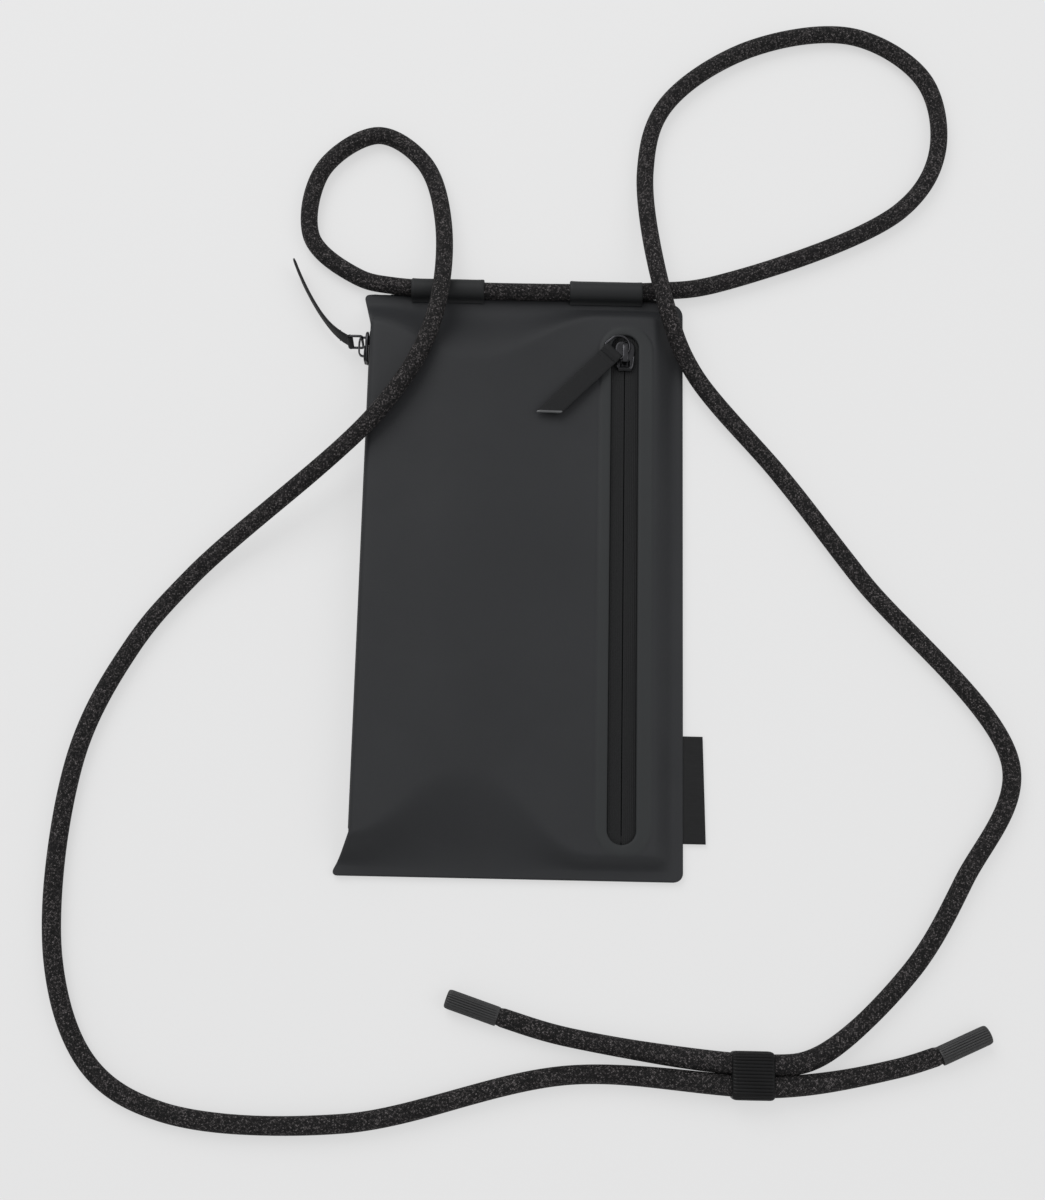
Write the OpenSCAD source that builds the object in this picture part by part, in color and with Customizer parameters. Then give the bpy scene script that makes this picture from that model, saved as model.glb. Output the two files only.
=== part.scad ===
// Neck pouch wallet: a flat welded-fabric pouch with a zip in its front and a zip in its
// left side, carried on one round braided cord with a two-hole length adjuster.
// Millimetres. The pouch lies on its back panel: +X right, +Y towards the cord tunnels, +Z up.

/* [Pouch] */
// Height of the pouch from bottom seam to top seam
pouch_h = 201; // [195:1:207]
// Half width, from the middle of the back to the right edge
half_w = 54; // [53.5:0.5:55]
// Thickness of the coated fabric
fabric_t = 0.8; // [0.6:0.1:0.9]
// Height of the left wall and of the crown of the front panel
crown_z = 12.2; // [11.8:0.1:12.6]
// Height of the flat shelf that carries the front zip
shelf_z = 7; // [6.9:0.05:7.1]

/* [Front zip] */
// Middle of the front slot
slot_x = 33.5; // [33:0.5:34]
// Width of the front slot
slot_w = 9.5; // [9:0.1:10]
// Lower end of the front slot
slot_y0 = -89.2; // [-90:0.1:-88]
// Upper end of the front slot
slot_y1 = 86.5; // [86:0.1:87]
// Middle of the front slider with the zip closed
front_slider_y = 80; // [79:0.5:80.5]

/* [Side zip] */
// Height of the middle of the side zip
side_zip_z = 6; // [6:0.1:6.1]
// Width of the side slot
side_slot_w = 8; // [7.8:0.1:8]
// Half length of the side slot
side_slot_half = 88; // [87:0.5:88]
// Middle of the side slider with the zip closed
side_slider_y = 81; // [80:0.5:81]

/* [Zip fastener] */
// Thickness of a woven zip tape
tape_t = 0.5; // [0.4:0.05:0.5]
// Depth of the coil row behind a tape
coil_t = 1.1; // [1:0.05:1.1]
// Gap between the two coil rows, where the neck of the slider runs
coil_gap = 1.2; // [1.1:0.1:1.4]
// Diameter of the ring wire
wire_d = 0.9; // [0.8:0.05:0.9]
// Width of a pull tape
pull_w = 6.6; // [6:0.1:6.8]
// Length of the front pull tape from its ring to its cut end
pull_len = 32.2; // [30:0.1:35]

/* [Cord] */
// Diameter of the neck cord
cord_d = 6; // [5.8:0.1:6]
// Diameter of a cord end cap
cap_d = 6.4; // [6.3:0.1:6.8]
// Length of a cord end cap
cap_len = 17.5; // [16:0.5:20]
// Outer diameter of a cord tunnel
tunnel_d = 7.2; // [7.1:0.1:7.4]
// Length of a cord tunnel
tunnel_len = 25.5; // [24:0.5:27]
// Width of the adjuster across its two holes
adjuster_w = 15; // [14.8:0.1:15.2]

/* [Hidden] */

// Seams: thickness of the welded edge, its inner line, and the lining between the panels
seam_z = 2 * fabric_t + 0.4;
end_y = pouch_h / 2;
seam_y = end_y - 3;
seam_x = half_w - 2.5;
lining_t = 0.4;
// Left wall: its plane, and how far the corners flare past it below and above
wall_x = -half_w - 0.6;
wall_end = 87;
flare_low = 6.2;
flare_top = 2.6;
flare_power = 1.15;
corner_r = 3;
left_corner_low = 2.2;
left_corner_top = 1.6;
// The crown falls to the shelf between these two places, and the shelf ends at shelf_end
crown_x = -30;
shelf_start = 25;
shelf_end = 43.5;
// Heights of the layers under the front slot
inner_z = shelf_z - fabric_t;
film_t = 0.3;
front_tape_z = inner_z - film_t;
film_margin = 2;
slot_end_min = 1.2;
// The side tapes bulge out through their slot to this plane
side_tape_x = wall_x - 0.5;
side_bond_x = wall_x + fabric_t;
// Slider: plates, neck and bridge, measured out from the face of the tape
plate_gap = 0.2;
plate_t = 1;
plate_top = plate_gap + plate_t;
back_plate_top = -(tape_t + coil_t + plate_gap);
back_plate_t = 0.8;
neck_w = 0.7;
ring_level = 2.4;
bridge_z0 = 3.05;
bridge_z1 = 3.95;
bridge_w = 2;
bridge_y0 = -4.3;
bridge_y1 = 3.2;
foot_l = 0.9;
foot_w = 1.2;
// Ring of the front pull: radius and centre of its arc, and its bar's distance and half length
ring_r = 3.7;
ring_c = [-2.2, 1.9];
bar_off = 2.85;
bar_half = 3.95;
pull_az = 227;
pull_rise = 4;
// Box ring of the side pull: length, reach, tilt about the slider's outward axis
side_ring_l = 7.6;
side_ring_reach = 4.2;
side_ring_tilt = 10;
side_ring_y = 1.2;
// Loop of tape round a ring's bar, and the doubled tape that follows it
loop_r = 1.05;
loop_bore_r = 0.55;
strap_t = 1.1;
tip_l = 0.8;
// Middle line of the side pull tape, from its bar to its tip, and its thickness
side_strap_t = 1;
side_pull_route = [[-62.2, 82.6, 5.9], [-65, 84.4, 5.6], [-68.5, 87.6, 5], [-72, 92, 4.5],
    [-75.5, 97.5, 4], [-79, 104, 3.7], [-82.8, 112.3, 3.4]];
// Adjuster and tunnels
adjuster_pos = [75.5, -160.27, 4.2];
adjuster_l = 13.5;
adjuster_t = 8.4;
adjuster_hole_y = 3.22;
adjuster_hole_r = 3.7;
tunnel_x = [-28.6, 26.9];
tunnel_y = [103.5, 103.7];
flange_t = 0.6;
strip_x = [-49, 50.5];
strip_w = 1.3;
strip_t = 0.4;
// Label tab
label_y = [-88, -52.5];
label_out = [7.5, 6.6];
label_t = 0.6;
// Middle line of the neck cord, from the left end cap to the right one
cord_sides = 10;
cord_route = [
    [-8, -143, 3.2], [17.3, -149.8, 3], [80.4, -157.05, 4.25], [96.5, -154.2, 3.7], [127, -127, 3],
    [145, -98, 3.1], [162, -60.5, 3], [114, 2, 3.1], [88, 37, 3], [57.5, 73.5, 5.3],
    [48.5, 92.5, 10.6], [40.5, 150.5, 3], [47.5, 176.5, 3.1], [78, 200, 3], [116.5, 206, 3],
    [141.5, 189, 3], [145.5, 161, 3], [131.5, 137.5, 3], [66, 108, 3], [43.5, 104.5, 3.5],
    [-47.5, 104.5, 3.4], [-61, 108, 3], [-77.5, 122.5, 3], [-74.5, 149, 3], [-55.5, 162.5, 3],
    [-39, 152.5, 3], [-31, 128.5, 5.2], [-33.5, 85, 15], [-50, 54, 16.4], [-111.5, -2, 3.7],
    [-130.5, -27, 3], [-146, -64, 3], [-148, -129, 3], [-134, -161.5, 3], [-110.5, -175, 3],
    [-53, -177.5, 3], [17.5, -161.4, 3], [84.9, -163.5, 4.2], [121.3, -157.3, 3],
    [138, -152, 3.2]];
cord_last = len(cord_route) - 1;
cap_socket = 3;

// ---- Shape of the pouch ----

// Smooth step from 0 to 1
function ease(t) = let (c = min(1, max(0, t))) c * c * (3 - 2 * c);

// Height of the front panel's outer face along the middle of the pouch
function ridge(x) = shelf_z
    + (crown_z - shelf_z) * ease((shelf_start - x) / (shelf_start - crown_x))
    - (shelf_z - seam_z) * ease((x - shelf_end) / (seam_x - shelf_end));

// Length over which the panel comes down to a top or bottom seam
function fall_len(x) = 5 + 18 * ease((24 - x) / 40) - 12.5 * ease((-22 - x) / 32);

// How far the panel has come up from the end seams, 0 to 1
function rise(x, y) = ease((seam_y - abs(y)) / fall_len(x));

function skin_z(x, y) = seam_z + (ridge(x) - seam_z) * rise(x, y);

// Left edge: it flares past the ends of the side zip, and its two corners are rounded
function left_x(y) = let (r = y < 0 ? left_corner_low : left_corner_top,
        d = max(0, abs(y) - end_y + r)) wall_x
    - (y < 0 ? flare_low : flare_top)
        * pow(max(0, abs(y) - wall_end) / (end_y - wall_end), flare_power)
    + r - sqrt(max(0, r * r - d * d));

function right_x(y) = let (d = max(0, abs(y) - end_y + corner_r))
    half_w - corner_r + sqrt(max(0, corner_r * corner_r - d * d));

// Half width of a slot with round ends, which stops short at a small flat end
function slot_half(y, w, y0, y1) = let (r = w / 2, d = max(0, abs(y - (y0 + y1) / 2) - (y1 - y0) / 2 + r))
    max(slot_end_min, sqrt(max(0, r * r - d * d)));

// Rows of the panel's grid, close together where a slot ends and where the panel comes down
panel_rows = [-100.5, -99, -97.5, -96, -94.2, -92.5, -90.5, -89, -88.2, -87.8, -87, -85.8, -84.3,
    -78, -70, -55, -37, -18, 0, 18, 37, 55, 70, 76, 81.7, 84, 85.5, 86.3, 87.4, 87.8,
    89, 90.5, 92.5, 94.2, 96, 97.5, 99, 100.5];
crown_cols = [-50, -43, -35, -26, -17, -8, 1, 9, 17, 24];
side_slot_col = 1;
front_slot_col = 16;
front_slot_end = [-89, 86.3];
side_slot_end = [-87.8, 87.8];

// One row of the front panel as [outer point, inner point] pairs, from the foot of the
// left wall, up the wall, over the crown and down to the right edge
function panel_row(y) = let (
        lx = left_x(y),
        rx = right_x(y),
        w = skin_z(lx + 1.3, y),
        k = (w - fabric_t) / (crown_z - fabric_t),
        h = slot_half(y, side_slot_w, -side_slot_half, side_slot_half),
        open = abs(y) <= side_slot_end[1],
        oz = open ? [side_zip_z - h, side_zip_z + h]
            : [for (f = [0.35, 0.65]) fabric_t + (w - fabric_t) * f],
        iz = open ? oz : [for (f = [0.35, 0.65]) fabric_t + (w - 2 * fabric_t) * f],
        ix = lx + fabric_t,
        g = slot_half(y, slot_w, slot_y0, slot_y1),
        xs = concat(crown_cols, [slot_x - g, slot_x + g, shelf_end, 46, 48.7],
            [min(seam_x, rx - 1), rx]))
    concat(
        [[[lx, y, fabric_t], [ix, y, fabric_t]],
         [[lx, y, oz[0]], [ix, y, iz[0]]],
         [[lx, y, oz[1]], [ix, y, iz[1]]],
         [[lx, y, w - 1.2 * k], [ix, y, w - fabric_t - 0.9 * k]],
         [[lx + 0.4, y, w - 0.35 * k], [ix + 0.3, y, w - fabric_t - 0.3 * k]]],
        [for (x = concat([lx + 1.6], xs)) let (z = skin_z(x, y)) [[x, y, z], [x, y, z - fabric_t]]]);

// Closed shell from a grid of [outer, inner] pairs. open(i, j) leaves out the cells that
// a slot takes, and a cell next to a missing one or to the rim gets a wall on that side.
module grid_shell(grid, open_cols, open_spans) {
    nr = len(grid);
    nc = len(grid[0]);
    function id(i, j, s) = (i * nc + j) * 2 + s;
    function y_of(i) = grid[i][0][0][1];
    function gone(i, j) = i < 0 || j < 0 || i >= nr - 1 || j >= nc - 1
        || len([for (q = [0 : 1 : len(open_cols) - 1])
            if (j == open_cols[q] && y_of(i) >= open_spans[q][0] - 0.01
                && y_of(i + 1) <= open_spans[q][1] + 0.01) 1]) > 0;
    function quad(a, b, c, d) = [[a, b, c], [a, c, d]];
    cells = [for (i = [0 : nr - 2]) for (j = [0 : nc - 2]) if (!gone(i, j)) [i, j]];
    faces = [for (c = cells) let (i = c[0], j = c[1]) each concat(
        quad(id(i, j, 0), id(i + 1, j, 0), id(i + 1, j + 1, 0), id(i, j + 1, 0)),
        quad(id(i, j, 1), id(i, j + 1, 1), id(i + 1, j + 1, 1), id(i + 1, j, 1)),
        gone(i, j - 1) ? quad(id(i, j, 0), id(i, j, 1), id(i + 1, j, 1), id(i + 1, j, 0)) : [],
        gone(i, j + 1) ? quad(id(i, j + 1, 0), id(i + 1, j + 1, 0), id(i + 1, j + 1, 1),
            id(i, j + 1, 1)) : [],
        gone(i - 1, j) ? quad(id(i, j, 0), id(i, j + 1, 0), id(i, j + 1, 1), id(i, j, 1)) : [],
        gone(i + 1, j) ? quad(id(i + 1, j, 0), id(i + 1, j, 1), id(i + 1, j + 1, 1),
            id(i + 1, j + 1, 0)) : [])];
    polyhedron(points = [for (r = grid) for (p = r) each p], faces = faces, convexity = 6);
}

module front_panel() {
    color("#34373a")
        grid_shell([for (y = panel_rows) panel_row(y)], [side_slot_col, front_slot_col],
            [side_slot_end, front_slot_end]);
}

module back_panel() {
    outline = concat([for (y = panel_rows) [left_x(y), y]],
        [for (i = [len(panel_rows) - 1 : -1 : 0]) [right_x(panel_rows[i]), panel_rows[i]]]);
    color("#303336") linear_extrude(fabric_t) polygon(outline);
}

// Underside of the lining that parts the front pocket from the main compartment
function lining_z(x, y) = fabric_t + pow(rise(x, y), 2) * (2.6 - fabric_t
    + 2.6 * ease((shelf_start - x) / 25) + 4.9 * ease((-38 - x) / 14)
    - (2.6 - fabric_t) * ease((x - shelf_end) / (seam_x - shelf_end)));

module pocket_divider() {
    cols = [side_bond_x + tape_t + 0.05, -49, -45, -41, -37, -25, -13, -4, 2, 8, 14, 20, 26,
        shelf_end, 46.5, 49, seam_x];
    color("#26282a")
        grid_shell([for (y = panel_rows) [for (x = cols)
            let (z = lining_z(x, y), xe = min(x, right_x(y) - 0.5))
                [[xe, y, z + lining_t], [xe, y, z]]]],
            [], []);
}

// ---- Zips ----

module slot_outline(w, y0, y1) {
    translate([-w / 2, y0 + w / 2]) square([w, y1 - y0 - w]);
    for (y = [y0 + w / 2, y1 - w / 2]) translate([0, y]) circle(d = w, $fn = 64);
}

module front_zip_bond_frame() {
    color("#2c2f32")
        translate([slot_x, 0, inner_z - film_t])
        linear_extrude(film_t)
        difference() {
            slot_outline(slot_w + 2 * film_margin, slot_y0 - film_margin, slot_y1 + film_margin);
            slot_outline(slot_w, slot_y0, slot_y1);
        }
}

// Flat strip beside the middle of the front slot, from x0 to x1 on the side given by dir
module front_strip(dir, x0, x1, y0, y1, z0, t) {
    translate([slot_x + (dir > 0 ? x0 : -x1), y0, z0]) cube([x1 - x0, y1 - y0, t]);
}

module front_zip_tape(dir) {
    color("#1b1c1e")
        front_strip(dir, coil_gap / 2, slot_w / 2 + film_margin, slot_y0 - 1.5, slot_y1 + 1.5,
            front_tape_z - tape_t, tape_t);
}

module front_zip_coil(dir) {
    color("#151617")
        front_strip(dir, coil_gap / 2, 2.3, slot_y0 + 3, slot_y1 - 0.6,
            front_tape_z - tape_t - coil_t, coil_t);
}

module front_zip_top_stops() {
    color("#2a2b2d")
        for (dir = [-1, 1])
            front_strip(dir, coil_gap / 2, 2.3, slot_y1 - 0.6, slot_y1 + 1.2,
                front_tape_z - tape_t - coil_t, coil_t);
}

module front_zip_bottom_stop() {
    color("#2a2b2d")
        translate([slot_x - 2.3, slot_y0 + 1, front_tape_z - tape_t - coil_t])
        cube([4.6, 2, coil_t]);
}

// Side tape: bonded flat inside the wall, then bulging out through the slot. Drawn for the
// lower half; dir turns it over for the upper half.
module side_half(dir) {
    translate([0, 0, side_zip_z]) mirror([0, 0, dir > 0 ? 1 : 0]) children();
}

module side_zip_tape(dir) {
    bulge_end = 86;
    bx = side_bond_x;
    sx = side_tape_x;
    bond_end = -4.4;
    flat = [[bx, bond_end], [bx, -3.1], [bx + tape_t, -2.9], [bx + tape_t, bond_end]];
    bulged = [[bx, bond_end], [bx, -3.1], [sx, -1.8], [sx, -coil_gap / 2],
        [sx + tape_t, -coil_gap / 2], [sx + tape_t, -1.6], [bx + tape_t, -2.9],
        [bx + tape_t, bond_end]];
    color("#1b1c1e") side_half(dir) {
        translate([0, bulge_end, 0]) rotate([90, 0, 0]) linear_extrude(2 * bulge_end) polygon(bulged);
        for (y = [-bulge_end, bulge_end + 3])
            translate([0, y, 0]) rotate([90, 0, 0]) linear_extrude(3) polygon(flat);
    }
}

module side_block(dir, y0, y1) {
    side_half(dir) translate([side_tape_x + tape_t, y0, -1.6])
        cube([coil_t, y1 - y0, 1.6 - coil_gap / 2]);
}

module side_zip_coil(dir) {
    color("#151617") side_block(dir, -84, 84.2);
}

module side_zip_top_stops() {
    color("#2a2b2d") for (dir = [-1, 1]) side_block(dir, 84.2, 85.9);
}

module side_zip_bottom_stop() {
    color("#2a2b2d")
        translate([side_tape_x + tape_t, -85.9, side_zip_z - 1.6]) cube([coil_t, 1.9, 3.2]);
}

// Slider, with its origin on the face of the tape, +Y towards the closed end, +Z outwards
module slider() {
    crown = [[-2.5, -6.5], [2.5, -6.5], [3.3, -1], [3.5, 2], [2.7, 3.9], [1.2, 4.6],
        [-1.2, 4.6], [-2.7, 3.9], [-3.5, 2], [-3.3, -1]];
    translate([0, 0, plate_gap]) linear_extrude(plate_t) polygon(crown);
    translate([0, 0, back_plate_top - back_plate_t]) linear_extrude(back_plate_t)
        polygon([for (p = crown) [p[0] * 0.74, p[1]]]);
    translate([-neck_w / 2, 0, back_plate_top - 0.1])
        cube([neck_w, 3.8, plate_gap + 0.2 - back_plate_top]);
    for (y = [bridge_y0, bridge_y1 - foot_l])
        translate([-foot_w / 2, y, plate_top - 0.1])
            cube([foot_w, foot_l, bridge_z0 - plate_top + 0.2]);
    translate([-bridge_w / 2, 0, 0]) rotate([90, 0, 90]) linear_extrude(bridge_w)
        polygon([[bridge_y0, bridge_z0], [bridge_y1, bridge_z0], [bridge_y1, bridge_z0 + 0.3],
            [bridge_y1 - 0.6, bridge_z1], [bridge_y0 + 0.6, bridge_z1], [bridge_y0, bridge_z0 + 0.3]]);
}

module at_front_slider() {
    translate([slot_x, front_slider_y, front_tape_z]) children();
}

module at_side_slider() {
    translate([side_tape_x, side_slider_y, side_zip_z]) rotate([0, -90, 0]) children();
}

module front_slider() {
    color("#3c3d40") at_front_slider() slider();
}

module side_slider() {
    color("#3c3d40") at_side_slider() slider();
}

module wire(length) {
    cylinder(d = wire_d, h = length, $fn = 32);
}

module wire_corner() {
    sphere(d = wire_d + 0.1, $fn = 32);
}

// The front ring's own place: origin at the centre of its arc, bar along X at -Y
module at_front_ring() {
    at_front_slider() translate([ring_c[0], ring_c[1], ring_level]) rotate([0, 0, pull_az - 270])
        children();
}

// Rounded triangle of wire: an arc, a bar, and two legs from the bar's ends to the arc
module front_pull_ring() {
    reach = norm([bar_half, bar_off]);
    start = acos(ring_r / reach) - atan2(bar_off, bar_half);
    leg_l = sqrt(reach * reach - ring_r * ring_r);
    color("#47484b") at_front_ring() {
        rotate([0, 0, start]) rotate_extrude(angle = 180 - 2 * start)
            translate([ring_r, 0]) circle(d = wire_d, $fn = 32);
        translate([-bar_half, -bar_off, 0]) rotate([0, 90, 0]) wire(2 * bar_half);
        for (s = [0, 1]) mirror([s, 0, 0]) {
            translate([bar_half, -bar_off, 0]) wire_corner();
            rotate([0, 0, start]) translate([ring_r, 0, 0]) rotate([90, 0, 0]) wire(leg_l);
        }
    }
}

// Doubled tape with a loop round its bar: the bar lies along X, the tape runs along -Y
module looped_strap(length, rise_angle) {
    rotate([90, 0, -90]) linear_extrude(pull_w, center = true) difference() {
        union() {
            circle(r = loop_r, $fn = 48);
            rotate(rise_angle) translate([0, -strap_t / 2]) square([length, strap_t]);
        }
        circle(r = loop_bore_r, $fn = 48);
    }
}

// The front strap before its end is cut, long enough for the slanting cut
module front_strap() {
    at_front_ring() translate([0, -bar_off, 0]) looped_strap(pull_len + 8, pull_rise);
}

// Y of the cut that runs across the end of the front strap
front_cut_y = front_slider_y + ring_c[1] + (bar_off + pull_len) * sin(pull_az);

module keep_above(y) {
    difference() {
        children();
        translate([-60, y - 60, 0]) cube([120, 60, 30]);
    }
}

module front_pull_tape() {
    color("#1f2123") keep_above(front_cut_y + tip_l) front_strap();
}

module front_pull_tip() {
    color("#5a5c5e") intersection() {
        front_strap();
        translate([-60, front_cut_y, 0]) cube([120, tip_l, 30]);
    }
}

// The side ring's own place: +X along its bars, +Z outwards from the slider
module at_side_ring() {
    at_side_slider() translate([0, side_ring_y, ring_level]) rotate([0, 0, side_ring_tilt]) children();
}

module side_pull_ring() {
    half = side_ring_l / 2;
    color("#47484b") at_side_ring() {
        for (z = [0, side_ring_reach]) translate([-half, 0, z]) rotate([0, 90, 0]) wire(side_ring_l);
        for (x = [-half, half]) {
            translate([x, 0, 0]) wire(side_ring_reach);
            for (z = [0, side_ring_reach]) translate([x, 0, z]) wire_corner();
        }
    }
}

function unit(v) = v / norm(v);

// Direction of the side strap's width at step i: along the ring's bar, then turning upright
function strap_across(i) = let (a = side_ring_tilt * (1 - ease(i / 3))) [0, sin(a), cos(a)];

// One cross-section of the side strap, with each edge set along the strap by slant
function strap_ring(route, i, slant) = let (
        n = len(route) - 1,
        t = unit(route[min(n, i + 1)] - route[max(0, i - 1)]),
        w = strap_across(i),
        s = unit(cross(t, w)) * side_strap_t / 2,
        c = route[i])
    [for (k = [[1, 1], [-1, 1], [-1, -1], [1, -1]])
        c + w * k[1] * (pull_w / 2) + s * k[0] - t * slant * (1 - k[1]) / 2];

module strap_body(rings) {
    n = len(rings) - 1;
    polyhedron(points = [for (r = rings) each r],
        faces = concat([[3, 2, 1, 0]], [[for (k = [0 : 3]) 4 * n + k]],
            [for (i = [0 : n - 1]) for (k = [0 : 3]) let (a = 4 * i + k, b = 4 * i + (k + 1) % 4)
                each [[a, b, b + 4], [a, b + 4, a + 4]]]));
}

side_slant = 4.5;

module side_pull_tape() {
    route = side_pull_route;
    n = len(route) - 1;
    color("#1f2123") {
        at_side_ring() translate([0, 0, side_ring_reach]) rotate([0, 90, 0])
            difference() {
                cylinder(r = loop_r, h = pull_w, center = true, $fn = 48);
                cylinder(r = loop_bore_r, h = pull_w + 1, center = true, $fn = 48);
            }
        strap_body([for (i = [0 : n]) strap_ring(route, i, i == n ? side_slant : 0)]);
    }
}

module side_pull_tip() {
    n = len(side_pull_route) - 1;
    step = unit(side_pull_route[n] - side_pull_route[n - 1]) * tip_l;
    last = strap_ring(side_pull_route, n, side_slant);
    color("#5a5c5e") strap_body([last, [for (p = last) p + step]]);
}

// ---- Cord and its fittings ----

module cord_tunnel(i) {
    x0 = tunnel_x[i] - tunnel_len / 2;
    y = tunnel_y[i];
    r = tunnel_d / 2;
    color("#303336") difference() {
        union() {
            translate([x0, y, r]) rotate([0, 90, 0]) cylinder(r = r, h = tunnel_len, $fn = 64);
            translate([x0, seam_y + 0.2, seam_z]) cube([tunnel_len, y - seam_y - r + 0.8, flange_t]);
        }
        translate([x0 - 1, y, r]) rotate([0, 90, 0])
            cylinder(d = cord_d + 0.2, h = tunnel_len + 2, $fn = 64);
        translate([x0 - 1, end_y - 5, -1]) cube([tunnel_len + 2, 5, seam_z + 1]);
    }
}

// Edge of the cloth that the tunnels are cut from, which shows below the cord
module tunnel_strip() {
    color("#26282a") translate([strip_x[0], end_y, 0])
        cube([strip_x[1] - strip_x[0], strip_w, strip_t]);
}

module label_tab() {
    color("#1a1b1d") translate([half_w, 0, fabric_t - 0.1]) linear_extrude(label_t)
        polygon([[0, label_y[0]], [label_out[0], label_y[0]], [label_out[1], label_y[1]],
            [0, label_y[1]]]);
}

// Point on the smooth curve through p[1] and p[2], with knots spaced by the root of distance
function route_point(p, f) = let (
        t1 = sqrt(norm(p[1] - p[0])),
        t2 = t1 + sqrt(norm(p[2] - p[1])),
        t3 = t2 + sqrt(norm(p[3] - p[2])),
        t = t1 + (t2 - t1) * f,
        a1 = ((t1 - t) * p[0] + t * p[1]) / t1,
        a2 = ((t2 - t) * p[1] + (t - t1) * p[2]) / (t2 - t1),
        a3 = ((t3 - t) * p[2] + (t - t2) * p[3]) / (t3 - t2),
        b1 = ((t2 - t) * a1 + t * a2) / t2,
        b2 = ((t3 - t) * a2 + (t - t1) * a3) / (t3 - t1),
        c = ((t2 - t) * b1 + (t - t1) * b2) / (t2 - t1))
    [c[0], c[1], max(c[2], cord_d / 2)];

// The route with a mirrored point before its start and after its end, then the curve
function route_ends(r) = let (n = len(r) - 1) concat([2 * r[0] - r[1]], r, [2 * r[n] - r[n - 1]]);
function steps_for(d) = d < 30 ? 1 : d < 52 ? 2 : 4;
function curve(r) = let (q = route_ends(r)) concat(
    [for (i = [1 : len(r) - 1]) let (p = [for (k = [-1 : 2]) q[i + k]], m = steps_for(norm(p[2] - p[1])))
        for (k = [0 : m - 1]) route_point(p, k / m)],
    [r[len(r) - 1]]);

module neck_cord() {
    c = curve(cord_route);
    n = len(c) - 1;
    pts = [for (i = [0 : n]) let (
            t = unit(c[min(n, i + 1)] - c[max(0, i - 1)]),
            s = unit(cross([0, 0, 1], t)),
            u = cross(t, s))
        for (k = [0 : cord_sides - 1]) let (a = 360 * k / cord_sides)
            c[i] + (s * cos(a) + u * sin(a)) * cord_d / 2];
    color("#222224") polyhedron(points = [for (p = pts) [p[0], p[1], max(0, p[2])]],
        faces = concat(
            [[for (k = [0 : cord_sides - 1]) k]],
            [[for (k = [cord_sides - 1 : -1 : 0]) n * cord_sides + k]],
            [for (i = [0 : n - 1]) for (k = [0 : cord_sides - 1]) let (
                    a = i * cord_sides + k, b = i * cord_sides + (k + 1) % cord_sides)
                each [[a, a + cord_sides, b + cord_sides], [a, b + cord_sides, b]]]));
}

module cord_adjuster() {
    round_r = 2.6;
    color("#17181a") translate(adjuster_pos) rotate([90, 0, 90])
        linear_extrude(adjuster_l, center = true) difference() {
            union() {
                square([adjuster_w - 2 * round_r, adjuster_t], center = true);
                square([adjuster_w, adjuster_t - 2 * round_r], center = true);
                for (a = [-1, 1]) for (b = [-1, 1])
                    translate([a * (adjuster_w / 2 - round_r), b * (adjuster_t / 2 - round_r)])
                        circle(r = round_r, $fn = 32);
            }
            for (a = [-1, 1]) translate([a * adjuster_hole_y, 0]) circle(r = adjuster_hole_r, $fn = 48);
        }
}

// End cap with its mouth on the cord: end is the cord's end, back is the route point before it
module end_cap(end, back) {
    r = cap_d / 2;
    d = unit([end[0] - back[0], end[1] - back[1], 0]);
    color("#161719") translate([end[0], end[1], r]) rotate([0, 0, atan2(d[1], d[0])])
        rotate([0, 90, 0]) translate([0, 0, -cap_socket]) difference() {
            rotate_extrude($fn = 48) {
                square([r, cap_len - 1]);
                square([r - 1, cap_len]);
                translate([r - 1, cap_len - 1]) circle(r = 1, $fn = 32);
            }
            translate([0, 0, -1]) cylinder(d = cord_d + 0.2, h = cap_socket + 1, $fn = 48);
        }
}

front_panel();
back_panel();
pocket_divider();
front_zip_bond_frame();
front_zip_tape(-1);  // front_zip_tape_left
front_zip_tape(1);  // front_zip_tape_right
front_zip_coil(-1);  // front_zip_coil_left
front_zip_coil(1);  // front_zip_coil_right
front_zip_top_stops();
front_zip_bottom_stop();
front_slider();
front_pull_ring();
front_pull_tape();
front_pull_tip();
side_zip_tape(-1);  // side_zip_tape_lower
side_zip_tape(1);  // side_zip_tape_upper
side_zip_coil(-1);  // side_zip_coil_lower
side_zip_coil(1);  // side_zip_coil_upper
side_zip_top_stops();
side_zip_bottom_stop();
side_slider();
side_pull_ring();
side_pull_tape();
side_pull_tip();
cord_tunnel(0);  // cord_tunnel_left
cord_tunnel(1);  // cord_tunnel_right
tunnel_strip();
label_tab();
neck_cord();
cord_adjuster();
end_cap(cord_route[0], cord_route[1]);  // end_cap_left
end_cap(cord_route[cord_last], cord_route[cord_last - 1]);  // end_cap_right
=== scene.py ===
"""Neck pouch wallet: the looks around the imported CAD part.

Shapes are worked out in millimetres with the sizes of the part's own source, and scaled to
metres once, where they become meshes."""

import math

import bmesh
import bpy
import numpy as np
from mathutils import Matrix, Vector


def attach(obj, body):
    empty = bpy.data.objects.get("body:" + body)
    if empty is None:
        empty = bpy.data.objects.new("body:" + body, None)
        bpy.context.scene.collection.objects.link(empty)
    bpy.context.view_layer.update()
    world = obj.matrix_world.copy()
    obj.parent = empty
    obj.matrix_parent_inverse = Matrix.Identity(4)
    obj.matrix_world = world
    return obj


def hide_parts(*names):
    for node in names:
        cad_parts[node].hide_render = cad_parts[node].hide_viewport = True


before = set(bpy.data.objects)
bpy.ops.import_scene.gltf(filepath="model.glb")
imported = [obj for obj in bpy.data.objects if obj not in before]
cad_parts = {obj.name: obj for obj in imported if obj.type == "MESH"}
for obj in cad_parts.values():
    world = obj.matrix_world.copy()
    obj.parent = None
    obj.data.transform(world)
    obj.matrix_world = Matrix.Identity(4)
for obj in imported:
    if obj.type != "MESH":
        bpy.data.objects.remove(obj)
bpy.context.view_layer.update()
MM = 0.001
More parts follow.
